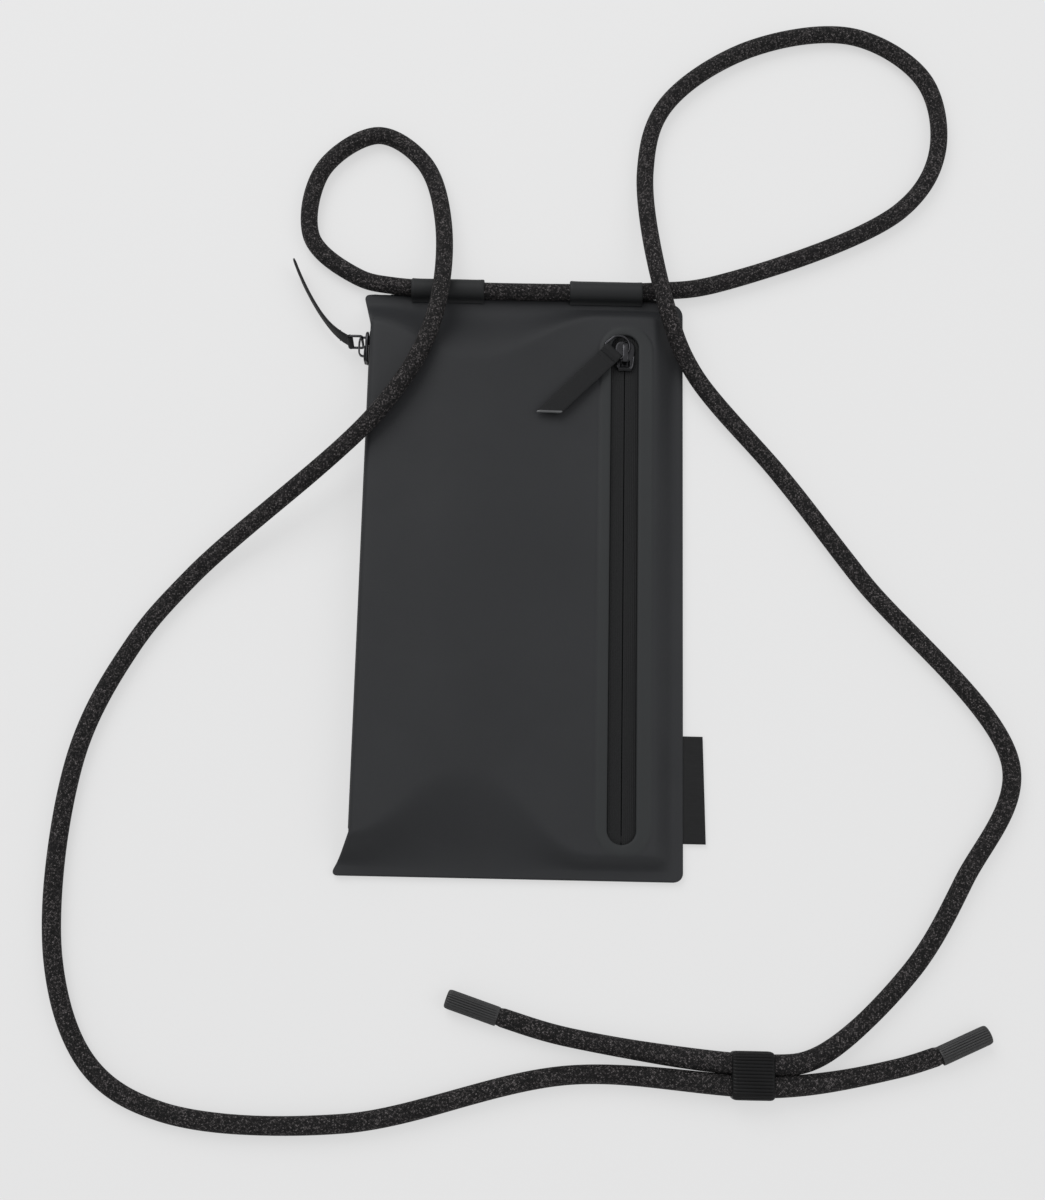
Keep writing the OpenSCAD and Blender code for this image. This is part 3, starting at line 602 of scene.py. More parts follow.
adjuster = make_adjuster()
route = CORD_ROUTE / MM
cap_left = make_cap("end_cap_left_ribbed", "end_cap_left", route[0], route[1], -3)
cap_right = make_cap("end_cap_right_ribbed", "end_cap_right", route[-1], route[-2], 7)


# ---- Pouch ----

def ridge(x):
    """Height along the middle: the crown at the left falls to the zip's shelf, then to the seam."""
    return SHELF_Z + CROWN_RISE * ease((25 - x) / 55) - SEAM_DROP * ease((x - 43.5) / 8)


def rise(x, y):
    """How far the panel has come up from its end seams; it does so over a length that is
    longest near the crown and shortest at both sides, and longer at the bottom than at the top."""
    low = ease((18 - x) / 26) * ease((x + 55) / 40) * (y < 0)
    length = 5 + 18 * ease((24 - x) / 40) - 12.5 * ease((-22 - x) / 32) + 11 * low
    return ease((SEAM_Y + 1.8 * low - np.abs(y)) / length)


def outside(x, y, x_mid, low, high, radius):
    """Distance outside a long hole with round ends; it is below 0 inside."""
    reach = (high - low) / 2 - radius
    return np.hypot(x - x_mid, np.maximum(0, np.abs(y - (low + high) / 2) - reach)) - radius


def past_band(x, y):
    """Distance outside the rim of the bonded band round the front slot."""
    return outside(x, y, BAND_X, BAND_Y0, BAND_Y1, BAND_R)


def skin(x, y):
    """Height of the front's outer face: the pillow, a slow 0.12 mm waviness, the band that
    stands 0.25 mm proud round the slot with a crease at its rim, and the slot's soft edge."""
    up = rise(x, y)
    z = EDGE_Z + (ridge(x) - EDGE_Z) * up
    z = z + 0.12 * up * np.sin(x / 13 + 0.6) * np.sin(y / 31 + 1.1) * ease((20 - x) / 20)
    past = past_band(x, y)
    raised = 1 - ease((past + 0.55) / 0.9)
    crease = np.exp(-((past - 0.55) / 0.35) ** 2)
    lip = np.exp(-np.maximum(0, outside(x, y, SLOT_X, SLOT_Y0, SLOT_Y1, SLOT_W / 2)) / 0.28)
    return z + up * (0.25 * raised - 0.07 * crease) - 0.32 * lip


def left_x(y):
    """The left edge, which flares out past the ends of the side zip and has round corners."""
    r = np.where(y < 0, LEFT_CORNER_LOW, LEFT_CORNER_TOP)
    d = np.maximum(0, np.abs(y) - END_Y + r)
    flare = np.where(y < 0, FLARE_LOW, FLARE_TOP)
    flare = flare * (np.maximum(0, np.abs(y) - WALL_END) / (END_Y - WALL_END)) ** FLARE_POWER
    return WALL_X - flare + r - np.sqrt(np.maximum(0, r ** 2 - d ** 2))


def right_x(y):
    """The right edge, with round corners."""
    r = np.where(y < 0, CORNER_R, RIGHT_CORNER_TOP)
    d = np.maximum(0, np.abs(y) - END_Y + r)
    return HALF_W - r + np.sqrt(np.maximum(0, r ** 2 - d ** 2))


def slot_half(y, low, high, radius, least):
    """Half width of a slot with round ends."""
    d = np.maximum(0, np.abs(y - (low + high) / 2) - (high - low) / 2 + radius)
    return np.maximum(least, np.sqrt(np.maximum(0, radius ** 2 - d ** 2)))


def raise_edge(p):
    """The top seam is pulled up towards the cord by 0.5 mm, by 0.8 mm more at its left, and
    not at its right corner."""
    pull = (0.5 + 0.8 * np.exp(-((p[..., 0] + 50) / 13) ** 2)) * ease((52 - p[..., 0]) / 14)
    p[..., 1] += pull * ease((p[..., 1] - 92) / 8.5)
    return p


def make_front():
    """The front and the left wall as one folded sheet. Each row runs up the wall past the side
    slot, round the top edge, over the crown, past the front slot and down to the right seam."""
    slot_r, side_r = SLOT_W / 2, 4.0
    turn = 1 - np.cos(np.linspace(0, math.pi / 2, 12))
    y = np.concatenate([np.linspace(-END_Y, END_Y, 190), SLOT_Y0 + slot_r * turn,
                        SLOT_Y1 - slot_r * turn, -SIDE_HALF + side_r * turn,
                        SIDE_HALF - side_r * turn,
                        CORNER_R * turn - END_Y, END_Y - CORNER_R * turn, [-97.9, -97.1, 97.1, 97.9]])
    y = np.unique(np.round(y, 3))
    rows = len(y)
    lx, rx = left_x(y), right_x(y)
    w = skin(lx + FOLD_X, y)
    k = (w - FABRIC) / (SHELF_Z + CROWN_RISE - FABRIC)
    half = slot_half(y, -SIDE_HALF, SIDE_HALF, side_r, 0.3)
    opened = ease((SIDE_HALF + 0.4 - np.abs(y)) / 0.4)
    centre = SIDE_Z * opened + (FABRIC + (w - FABRIC) * 0.5) * (1 - opened)
    half = half * opened + np.minimum(0.3, 0.1 * (w - FABRIC)) * (1 - opened)
    shoulder = w - FOLD_Z * k
    lines = []
    for f in (0, 0.35, 0.7, 0.93):
        lines.append((lx, FABRIC + (centre - half - FABRIC) * f, 1, 0))
    lines.append((lx + 0.12, centre - half, 1, 0))
    lines.append((lx + 0.12, centre + half, 1, 0))
    for f in (0.12, 0.5, 1):
        lines.append((lx, centre + half + (shoulder - centre - half) * f, 1, 0))
    for angle in np.linspace(15, 90, 6):
        s, c = math.sin(math.radians(angle)), math.cos(math.radians(angle))
        lines.append((lx + FOLD_X * (1 - c), shoulder + FOLD_Z * k * s, c, s))
    outer = np.zeros((rows, len(lines), 3))
    inner = np.zeros_like(outer)
    for j, (x, z, nx, nz) in enumerate(lines):
        outer[:, j] = np.column_stack([x, y, z])
        lift = np.minimum(FABRIC, z * 0.6) if nz else np.zeros(rows)
        inner[:, j] = np.column_stack([x + FABRIC * nx, y, z - lift * nz])
    side_col = 4
    g = slot_half(y, SLOT_Y0, SLOT_Y1, slot_r, 0.12)
    near = np.array([0, 0.1, 0.25, 0.5, 0.9, 1.5, 2.4, 3.1, 3.5, 3.8, 4.1, 4.4, 4.7, 5.0, 5.3, 5.7, 6.2])
    fine_left, fine_right = 22.5, 44.6
    start = lx + FOLD_X
    left_edge, right_edge = SLOT_X - g, SLOT_X + g
    cols = [start + (fine_left - start) * f for f in np.linspace(0, 1, 46)[1:]]
    for f in near[-2::-1]:
        cols.append(left_edge - f * (left_edge - fine_left) / (near[-1] + 0.05))
    front_col = len(lines) + len(cols) - 1
    for f in near:
        cols.append(right_edge + f * (fine_right - right_edge) / near[-1])
    for f in (0.12, 0.25, 0.38, 0.52, 0.66, 0.8, 0.92, 1):
        cols.append(fine_right + (np.minimum(SEAM_X + 1.2, rx - 1.0) - fine_right) * f)
    cols.append(rx - 0.4)
    cols.append(rx - 0.1)
    cols.append(rx)
    x = np.stack(cols, 1)
    z = skin(x, y[:, None])
    z[:, -1] -= 0.45
    z[:, -2] -= 0.18
    z[:, -3] -= 0.03
    edge = np.maximum(0, np.abs(y) - END_Y + 0.5)[:, None]
    z -= 1.2 * edge ** 2
    top = np.stack([x, np.broadcast_to(y[:, None], x.shape), z], -1)
    under = top.copy()
    under[..., 2] = np.maximum(z - FABRIC, 1.2)
    under[:, -1, 2] = 1.2
    outer, inner = np.concatenate([outer, top], 1), np.concatenate([inner, under], 1)
    outer, inner = raise_edge(outer), raise_edge(inner)
    hole = np.zeros((rows - 1, outer.shape[1] - 1), bool)
    mid = (y[:-1] + y[1:]) / 2
    hole[np.abs(mid) < SIDE_HALF, side_col] = True
    hole[(mid > SLOT_Y0) & (mid < SLOT_Y1), front_col] = True
    band = (1 - ease((past_band(outer[..., 0], outer[..., 1]) + 0.3) / 0.8)) * (outer[..., 2] > 3)
    values = np.concatenate([band.ravel(), np.zeros(band.size)])
    piece("pouch_front_shell", [shell(outer, inner, hole)], POUCH, "pouch", ["front_panel"],
          50, values)


def make_back():
    """A flat sheet with the pouch's outline: each row's cross-section is a thin bar with round
    edges, pressed 0.15 mm deeper along the weld that runs 3 mm inside the outline."""
    y = np.unique(np.concatenate([np.linspace(-END_Y, END_Y, 120), END_Y - np.linspace(0, 3.4, 9),
                                  np.linspace(0, 3.4, 9) - END_Y]))
    lx, rx = left_x(y), right_x(y)
    f = np.concatenate([[0, 0.002, 0.006, 0.02, 0.026, 0.032], np.linspace(0.05, 0.95, 30),
                        [0.968, 0.974, 0.98, 0.994, 0.998, 1]])
    x = lx[:, None] + (rx - lx)[:, None] * f
    inside = np.minimum(np.minimum(x - lx[:, None], rx[:, None] - x), END_Y - np.abs(y)[:, None])
    weld = WELD_DEEP * np.exp(-((inside - WELD_IN) / 0.35) ** 2)
    soft = 0.3 * (1 - np.clip(inside / 0.5, 0, 1)) ** 2
    low = np.stack([x, np.broadcast_to(y[:, None], x.shape), weld + soft], -1)
    high = low.copy()
    high[..., 2] = FABRIC
    piece("pouch_back_shell", [shell(raise_edge(low), raise_edge(high))], POUCH, "pouch",
          ["back_panel"], 50, np.zeros(low.size // 3 * 2))


make_front()
make_back()


# ---- Zips ----

def tape_grid(y, lines):
    """Outer and inner grid of a tape, from its profile's outer points, their outward normals
    and their thickness, for each row."""
    outer = np.zeros((len(y), len(lines), 3))
    inner = np.zeros_like(outer)
    for j, (x, z, nx, nz, t) in enumerate(lines):
        outer[:, j] = np.column_stack([np.broadcast_to(x, y.shape), y, np.broadcast_to(z, y.shape)])
        inner[:, j] = outer[:, j] - np.column_stack([np.broadcast_to(nx * t, y.shape), y * 0,
                                                     np.broadcast_to(nz * t, y.shape)])
    return shell(outer, inner)


def make_front_tapes():
    """Each tape lies flat, folds down at the middle line, and has ribs 0.62 mm apart as a
    wave of 0.12 mm in its height."""
    y = np.linspace(SLOT_Y0 - 1.5, SLOT_Y1 + 1.5, 60)
    across = np.concatenate([[TAPE_GAP, 0.17, 0.26, 0.42],
                             np.arange(RIB_PITCH, TAPE_HALF_W - 0.01, RIB_PITCH / 8), [TAPE_HALF_W]])
    for side, name in ((-1, "left"), (1, "right")):
        lines = []
        for x in across:
            fold = -0.20 * math.exp(-(x - TAPE_GAP) / 0.12)
            wave = RIB_DEEP * (math.cos(TAU * x / RIB_PITCH) - 1) / 2 * min(1, (x - TAPE_GAP) / 0.4)
            lines.append((SLOT_X + side * x, TAPE_TOP + fold + wave, 0, 1, TAPE_T + fold + wave))
        piece("front_tape_%s_ribbed" % name, [tape_grid(y, lines)], TAPE, "pouch",
              ["front_zip_tape_" + name], 60)


def coil_path(y0, y1, near, far, low, high, shift):
    """A flattened spiral: it goes round an ellipse while it moves along Y, and its nose at the
    middle line is squared."""
    turns = int((y1 - y0 - shift) / COIL_PITCH)
    t = np.linspace(0, turns * TAU, turns * 12 + 1)
    c = np.cos(t)
    across = (near + far) / 2 - (far - near) / 2 * np.sign(c) * np.abs(c) ** 0.7
    up = (low + high) / 2 + (high - low) / 2 * np.sin(t)
    return y0 + shift + t / TAU * COIL_PITCH, across, up


def make_coils():
    """Two spirals of nylon wire for each zip, half a pitch apart, with their noses in line
    behind the gap between the tapes."""
    for side, name in ((-1, "left"), (1, "right")):
        y, a, h = coil_path(SLOT_Y0 + 3.2, SLOT_Y1 - 0.8, 0.05, 2.05, -1.38, -0.72,
                            COIL_PITCH / 2 * (side > 0))
        path = np.column_stack([SLOT_X + side * a, y, TAPE_TOP + h])
        piece("front_coil_%s_wire" % name, [closed_loft(tube_rings(path, COIL_WIRE_R, 6, (0, 1, 0)))],
              COIL, "pouch", ["front_zip_coil_" + name])
    for side, name in ((-1, "lower"), (1, "upper")):
        y, a, h = coil_path(-83.8, 84.0, 0.05, 1.4, 0.72, 1.38, COIL_PITCH / 2 * (side > 0))
        path = np.column_stack([SIDE_TAPE_X + h, y, SIDE_Z + side * a])
        piece("side_coil_%s_wire" % name, [closed_loft(tube_rings(path, COIL_WIRE_R, 6, (0, 1, 0)))],
              COIL, "pouch", ["side_zip_coil_" + name])


def make_side_tapes():
    """Each tape is bonded inside the wall, comes out through the slot and runs flat to the
    middle line; past the ends of the coil the bulge eases back to the wall."""
    y = np.unique(np.concatenate([np.linspace(-89, 89, 70), np.linspace(84, 88, 12),
                                  -np.linspace(84, 88, 12)]))
    out = ease((87.6 - np.abs(y)) / 2.2)
    key = smooth_path([[-5.1, 0], [-3.9, 0.02], [-3.1, 0.12], [-2.5, 0.62], [-1.8, 1.12],
                       [-1.0, 1.3], [-0.5, 1.3], [-0.2, 1.22]], 0.09)
    slope = unit(np.gradient(key, axis=0))
    for side, name in ((-1, "lower"), (1, "upper")):
        lines = []
        for (z, push), (dz, dp) in zip(key, slope):
            wave = 0.05 * (math.cos(TAU * (z + 0.2) / 0.6) - 1) / 2 * (z > -2.6)
            x = SIDE_BOND_X - (push + wave) * out
            lines.append((x, SIDE_Z - side * z, -dz * out - (1 - out), -side * dp * out, TAPE_T))
        piece("side_tape_%s_ribbed" % name, [tape_grid(y, lines)], TAPE, "pouch",
              ["side_zip_tape_" + name], 60)


make_front_tapes()
make_coils()
make_side_tapes()
for node, finish in (("pocket_divider", LINING), ("front_zip_bond_frame", FILM),
                     ("front_zip_top_stops", NICKEL), ("front_zip_bottom_stop", NICKEL),
                     ("side_zip_top_stops", NICKEL), ("side_zip_bottom_stop", NICKEL)):
    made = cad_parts[node]
    made.data.materials.clear()
    made.data.materials.append(finish)


# ---- Sliders, rings and pulls ----

def on_front(p):
    """Slider-local millimetres to the part's own: the front slider faces up."""
    return np.asarray(p, float) + [SLOT_X, FRONT_SLIDER_Y, TAPE_TOP]


def on_side(p):
    """Slider-local millimetres to the part's own: the side slider faces left."""
    p = np.asarray(p, float)
    return np.stack([SIDE_TAPE_X - p[..., 2], SIDE_SLIDER_Y + p[..., 1], SIDE_Z + p[..., 0]], -1)


def plan_outline(count=96):
    """The slider's plan: flat and narrow at its open end, wide at its shoulders and round at
    its nose, from a closed curve through its corners."""
    key = [[-2.35, -6.35], [0, -6.5], [2.35, -6.35], [2.85, -4.5], [3.2, -1.2], [3.45, 1.5],
           [2.95, 3.5], [1.6, 4.45], [0, 4.6], [-1.6, 4.45], [-2.95, 3.5], [-3.45, 1.5],
           [-3.2, -1.2], [-2.85, -4.5]]
    return even_outline(smooth_path(key, 0.2, closed=True), count)[0]


def slider_parts():
    """Crown plate with a domed top and a sunk mouth, a raised rim round the mouth, the neck,
    the back plate, and the arch of the bridge, all in slider-local millimetres."""
    plan = plan_outline()
    middle = np.array([0, -0.6])
    rings = []
    for size, z in ((0.86, 0.22), (0.96, 0.26), (1.0, 0.42), (1.0, 0.82), (0.975, 1.02), (0.93, 1.14)):
        rings.append(at_height((plan - middle) * size + middle, z))
    for size in np.linspace(0.88, 0.04, 18):
        p = (plan - middle) * size + middle
        across, along = 1.75 - np.abs(p[:, 0]), np.minimum(p[:, 1] + 5.5, -2.7 - p[:, 1])
        sunk = ease(across / 0.5) * ease(along / 0.5)
        rings.append(np.column_stack([p, 1.2 + 0.12 * (1 - size) - 0.62 * sunk]))
    parts = [closed_loft(np.array(rings))]
    rim = smooth_path([[-3.05, -1.6, 1.1], [-2.85, -3.4, 1.22], [-2.5, -5.2, 1.25],
                       [-2.0, -5.95, 1.25], [0, -6.08, 1.25], [2.0, -5.95, 1.25],
                       [2.5, -5.2, 1.25], [2.85, -3.4, 1.22], [3.05, -1.6, 1.1]], 0.25)
    parts.append(rounded_rod(rim, 0.36, 10))
    low = plan * [0.72, 0.97]
    back = ((0.9, -1.84), (1, -1.95), (1, -2.4), (0.9, -2.58))
    parts.append(closed_loft(np.array([at_height(low * [f, 1], z) for f, z in back])))
    neck = box_ring(0.24, 3.4, 0.1) + [0, 1.9]
    parts.append(closed_loft(np.array([at_height(neck, z) for z in (-1.9, 0.3)])))
    arch = smooth_path([[0, -3.95, 1.0], [0, -4.0, 2.0], [0, -3.75, 2.85], [0, -3.0, 3.36],
                        [0, -1.2, 3.5], [0, 1.0, 3.46], [0, 2.2, 3.2], [0, 2.75, 2.55],
                        [0, 2.85, 1.8], [0, 2.85, 1.0]], 0.22)
    along = unit(np.gradient(arch, axis=0))
    normal = np.cross([1.0, 0, 0], along)
    flat = box_ring(1, 0.62, 0.2)
    width = (1.25 + 0.7 * ease((arch[:, 2] - 2.2) / 1.1))[:, None, None]
    wide = flat[None, :, :1] * width * [1.0, 0, 0]
    parts.append(closed_loft(arch[:, None] + wide + flat[None, :, 1:] * normal[:, None]))
    return parts


def make_slider(name, turn):
    """One slider turned into its place, with its bridge as a piece of its own in the paler wire metal, a
    painted highlight.
    """
    parts = [(turn(p), q, uv) for p, q, uv in slider_parts()]
    piece(name + "_slider_body", parts[:-1], NICKEL, name + "_slider", [name + "_slider"],
          35)
    # The bridge's paler metal is a painted highlight.
    piece(name + "_slider_bridge", parts[-1:], WIRE_AND_BRIDGE_HIGHLIGHT, name + "_slider")


def make_rings():
    """The front ring is a rounded triangle of wire: an arc, two legs and a bar. The side ring
    is a rounded box with corners of 0.6 mm."""
    turn = math.radians(PULL_HEADING - 270)
    start = math.radians(4.758)
    a = np.linspace(start, math.pi - start, 40)
    arc = RING_ARC_R * np.stack([np.cos(a), np.sin(a)], 1)
    legs, bar = np.linspace(0.15, 0.86, 8)[:, None], np.linspace(-3.35, 3.35, 16)
    left, right = np.array([-RING_HALF, -RING_BAR]), np.array([RING_HALF, -RING_BAR])
    flat = np.vstack([arc, arc[-1] + (left - arc[-1]) * legs, [[-3.84, -2.68], [-3.62, -2.83]],
                      np.stack([bar, np.full(16, -RING_BAR)], 1), [[3.62, -2.83], [3.84, -2.68]],
                      arc[0] + (right - arc[0]) * legs[::-1]])
    c, s = math.cos(turn), math.sin(turn)
    path = on_front(at_height(flat @ np.array([[c, s], [-s, c]]) + RING_POST[:2], RING_POST[2]))
    piece("front_ring_wire", [surface(tube_rings(path, WIRE_R, 14, closed=True), True, True)], WIRE_AND_BRIDGE_HIGHLIGHT,
          "front_ring", ["front_pull_ring"])
    c, s = math.cos(SIDE_TILT), math.sin(SIDE_TILT)
    box = box_ring(7.6, 4.2, 0.6, 7) + [0, 2.1]
    box = box[np.linalg.norm(box - np.roll(box, 1, 0), axis=1) > 1e-6]
    box = smooth_path(at_height(box, 0), 0.35, closed=True)
    path = on_side(np.stack([box[:, 0] * c, 1.2 + box[:, 0] * s, RING_POST[2] + box[:, 1]], 1))
    normal = on_side([-s, c, 0]) - on_side([0, 0, 0])
    piece("side_ring_wire", [surface(tube_rings(path, WIRE_R, 14, normal, True), True, True)], WIRE_AND_BRIDGE_HIGHLIGHT,
          "side_ring", ["side_pull_ring"])


# Front strap: its way from the ring's bar, the bar's middle, its width's way, its climb above
# the cloth, and the level line that it is cut along
AWAY = np.array([math.cos(math.radians(PULL_HEADING)), math.sin(math.radians(PULL_HEADING)), 0])
BAR = on_front(RING_POST) + RING_BAR * AWAY
ASIDE = np.array([-AWAY[1], AWAY[0], 0])
CLIMB = math.tan(math.radians(4))
CUT_Y = 56.27


def strap_point(s, v, h):
    """A point of the front strap: s along it from the bar, v across it, h above its middle."""
    up = (h + s * CLIMB)[..., None] * [0, 0, 1.0]
    return BAR + s[..., None] * AWAY + v[..., None] * ASIDE + up


def strap_end(v, y):
    """How far along the strap the level line y is, at the place v across it."""
    return (BAR[1] - y + v * ASIDE[1]) / -AWAY[1]


def strap_width(s):
    """The strap narrows from its bar towards its cut end."""
    return 7.0 - 0.5 * np.clip(s / 33, 0, 1)


def make_front_strap():
    """Two layers of tape, 0.5 mm each, that fold round the bar. A round-edged bar of width w and
    depth 0.5 is carried from the cut end along the lower layer, round the bar and back along the
    upper one. It is pressed in by 0.16 mm at the first row of stitches, stands 0.05 mm proud at
    the second, and its end follows the cut."""
    far = FRONT_STRAP_L
    run = np.linspace(far, 3.0, 44)
    over = np.array([[0.35, 0.77, 0], [1.1, 0.66, 0], [2.0, 0.30, 0], [3.0, 0.27, 0]])
    under = over[::-1] * [1, -1, 1]
    tip = [[-0.42, -0.67, 0], [-0.8, 0, 0], [-0.42, 0.67, 0]]
    loop = smooth_path(np.vstack([under, tip, over]), 0.16)
    line = np.vstack([at_height(run[:, None], -0.27)[:-1], loop[:, :2],
                      at_height(run[::-1, None], 0.27)[1:]])
    slope = unit(np.gradient(line, axis=0))
    normal = np.stack([-slope[:, 1], slope[:, 0]], 1)
    normal *= np.sign((normal * (line - [1.0, 0])).sum(1) + 1e-9)[:, None]
    outline = box_ring(1, 0.5, 0.2, 5)
    s0, h0 = line[:, :1], line[:, 1:]
    v = np.clip(outline[None, :, 0] * 2, -1, 1) * (strap_width(s0) / 2)
    thick = outline[None, :, 1]
    pressed = 0.16 * np.exp(-((s0 - 2.6) / 0.28) ** 2) - 0.05 * np.exp(-((s0 - 4.4) / 0.35) ** 2)
    push = thick - pressed * (thick > 0.1)
    s = s0 + normal[:, :1] * push
    h = h0 + normal[:, 1:] * push
    h = h + 0.25 * ease((s - 6) / 26) * np.sin(np.clip(s - 6, 0, 26) / 26 * math.pi)
    ratio = np.clip(s0 / far, 0, 1) ** 3
    s = s + (strap_end(v, CUT_Y + 0.55) - far) * ratio
    piece("front_pull_strap", [closed_loft(strap_point(s, v, h))], PULL, "front_pull",
          ["front_pull_tape"], 50)
    seams = []
    for at in (2.55, 4.35):
        for k in np.linspace(-2.9, 2.9, 8):
            t = np.linspace(-0.26, 0.26, 5)
            stitch = strap_point(np.full(5, at), k + t, 0.60 - 1.6 * t ** 2)
            seams.append(rounded_rod(stitch, SEAM_R, 8))
    piece("front_pull_stitches", seams, THREAD, "front_pull")
    bead = box_ring(0.95, 1.12, 0.36, 5)
    rings = []
    for k in np.linspace(-3.12, 3.12, 30):
        near = max(0.0, 1 - ((3.25 - abs(k)) / 0.5)) if abs(k) > 2.75 else 0.0
        size = 1 - 0.45 * near
        here = strap_end(np.full(len(bead), k), CUT_Y + 0.40) + bead[:, 0] / -AWAY[1] * size
        rings.append(strap_point(here, np.full(len(bead), k), bead[:, 1] * size))
    # The sealed end's pale colour is partly a painted highlight.
    piece("front_pull_sealed_end", [closed_loft(np.array(rings))], SEALED_GREY_AND_HIGHLIGHT, "front_pull",
          ["front_pull_tip"], 50)


# Middle line of the side strap, from the side ring's bar to its cut end
SIDE_ROUTE = [[-61.9, 82.35, 5.95], [-62.2, 82.6, 5.9], [-65, 84.4, 5.6], [-68.5, 87.6, 5],
              [-72, 92, 4.5], [-75.5, 97.5, 4], [-79, 104, 3.7], [-82.8, 112.3, 3.4]]


def ribbon(path, turn, width, depth, corner, slant):
    """A round-edged strip along a path: its width lies along turn, and its end is cut at a slant."""
    along = unit(np.gradient(path, axis=0))
    across = unit(turn - (turn * along).sum(1, keepdims=True) * along)
    face = np.cross(along, across)
    outline = box_ring(1, depth, corner, 5)
    v = np.clip(outline[None, :, 0] * 2, -1, 1) * width / 2
    rings = path[:, None] + v[..., None] * across[:, None] + outline[None, :, 1:] * face[:, None]
    return rings - (slant[:, None] * (0.5 - v / width))[..., None] * along[:, None]


def make_side_strap():
    """The side strap stands on its edge: a strip along its route that turns from the ring's bar
    to upright, a sleeve of tape round the bar, and a sealed strip at its slanting end."""
    path = smooth_path(SIDE_ROUTE, 0.8)
    s = run_length(path)
    angle = SIDE_TILT * (1 - ease((s - 1) / 14))
    turn = np.stack([angle * 0, np.sin(angle), np.cos(angle)], 1)
    slant = SIDE_CUT * ease((s / s[-1] - 0.55) / 0.45)
    rings = ribbon(path, turn, SIDE_STRAP_W, 0.95, 0.3, slant)
    bar = np.array([0, math.sin(SIDE_TILT), math.cos(SIDE_TILT)])
    centre = np.array([-61.7, 82.2, 6.0])
    out = np.array([-1.0, 0, 0])
    up = np.cross(bar, out)
    a = np.linspace(0, TAU, 40, endpoint=False)[:, None]
    wheel = np.cos(a) * out + np.sin(a) * up
    sleeve = box_ring(0.5, SIDE_STRAP_W, 0.2, 4) + [0.8, 0]
    loop = centre + sleeve[:, :1][None] * wheel[:, None] + sleeve[:, 1:][None] * bar
    piece("side_pull_strap", [closed_loft(rings), surface(loop, True, True)], PULL, "side_pull",
          ["side_pull_tape"], 50)
    seams = []
    at, beyond = [np.array([np.interp(far, s, path[:, i]) for i in range(3)]) for far in (4.2, 4.6)]
    along = unit(beyond - at)
    proud = np.cross(along, bar)
    t = np.linspace(-0.26, 0.26, 5)[:, None]
    for k in np.linspace(-2.7, 2.7, 7):
        for face in (-1, 1):
            stitch = at + (k + t) * bar + face * (0.5 - 1.2 * t ** 2) * proud
            seams.append(rounded_rod(stitch, SEAM_R, 8, along))
    piece("side_pull_stitches", seams, THREAD, "side_pull")
    step = unit(path[-1] - path[-2])
    tip = path[-1] + step * np.linspace(0, 0.8, 6)[:, None]
    size = np.array([1, 1, 0.99, 0.97, 0.93, 0.82])
    rings = ribbon(tip, np.repeat(turn[-1:], 6, 0), SIDE_STRAP_W, 1.02, 0.32, np.full(6, SIDE_CUT))
    middle = rings.mean(1, keepdims=True)
    rings = middle + (rings - middle) * size[:, None, None]
    # The sealed end's pale colour is partly a painted highlight.
    piece("side_pull_sealed_end", [closed_loft(rings)], SEALED_GREY_AND_HIGHLIGHT, "side_pull", ["side_pull_tip"],
          50)


make_slider("front", on_front)
make_slider("side", on_side)
make_rings()
make_front_strap()
make_side_strap()


# ---- Cord tunnels and label ----

def make_tunnel(name, x_mid, y_mid):
    """A sleeve of cloth round the cord: its outline is a circle that runs out into a flat lip
    on the pouch's edge. Its two ends are turned in with a soft rim and stand 0.08 mm proud."""
    low = math.atan2(-1.58, TUNNEL_LIP_Y - y_mid)
    high = math.atan2(-1.30, TUNNEL_LIP_Y - y_mid)
    a = np.unique(np.concatenate([np.linspace(-math.pi, math.pi, 90, endpoint=False),
                                  [low, high, low + 0.004, high - 0.004]]))
    lip = (TUNNEL_LIP_Y + 0.05 - y_mid) / np.cos(a)
    circle = np.full(len(a), TUNNEL_R)
    reach = np.where((a <= high + 1e-9) & (a >= low - 1e-9), lip, circle)
    for edge, sign in ((low, 1), (high, -1)):
        away = np.abs(a - edge)
        blend = np.exp(-away / 0.10) * ((a > high) if sign < 0 else (a < low))
        reach = np.maximum(reach, circle + blend * 1.6)
    half = TUNNEL_L / 2
    rim = [(1.2, 3.12, 1), (0.05, 3.14, 1), (0, 3.3, 1), (0, 0.30, 0), (0.12, 0.04, 0),
           (0.5, -0.08, 0), (1.3, -0.03, 0), (3, 0.02, 0)]
    stations = [(x - half, size, is_hole) for x, size, is_hole in rim]
    stations += [(-3, 0.0, 0), (0, 0.03, 0), (3, 0.0, 0)]
    stations += [(half - x, size, is_hole) for x, size, is_hole in rim[::-1]]
    rings = []
    for x, size, is_hole in stations:
        r = np.full(len(a), size) if is_hole else reach - size
        z = np.maximum(TUNNEL_R + r * np.sin(a), 0.02)
        rings.append(np.column_stack([np.full(len(a), x_mid + x), y_mid + r * np.cos(a), z]))
    piece(name, [surface(np.array(rings), True, True)], SLEEVE, "pouch",
          ["cord_tunnel_" + name.split("_")[2]], 50)


def make_strip():
    """The edge of the cloth that the sleeves are cut from: a bar 0.4 mm deep with round edges
    along the top seam, drawn in at both ends."""
    bar = box_ring(STRIP_W, 0.38, 0.15)
    end = [(0, 0.7), (0.1, 0.95), (0.4, 1)]
    stations = [(STRIP_X[0] + x, size) for x, size in end] + [(x, 1) for x in (-30, 0, 30)]
    stations += [(STRIP_X[1] - x, size) for x, size in end[::-1]]
    rings = [np.column_stack([np.full(len(bar), x), bar * size + [STRIP_Y, 0.2]])
             for x, size in stations]
    piece("tunnel_strip_cloth", [closed_loft(np.array(rings))], SLEEVE, "pouch", ["tunnel_strip"],
          50)


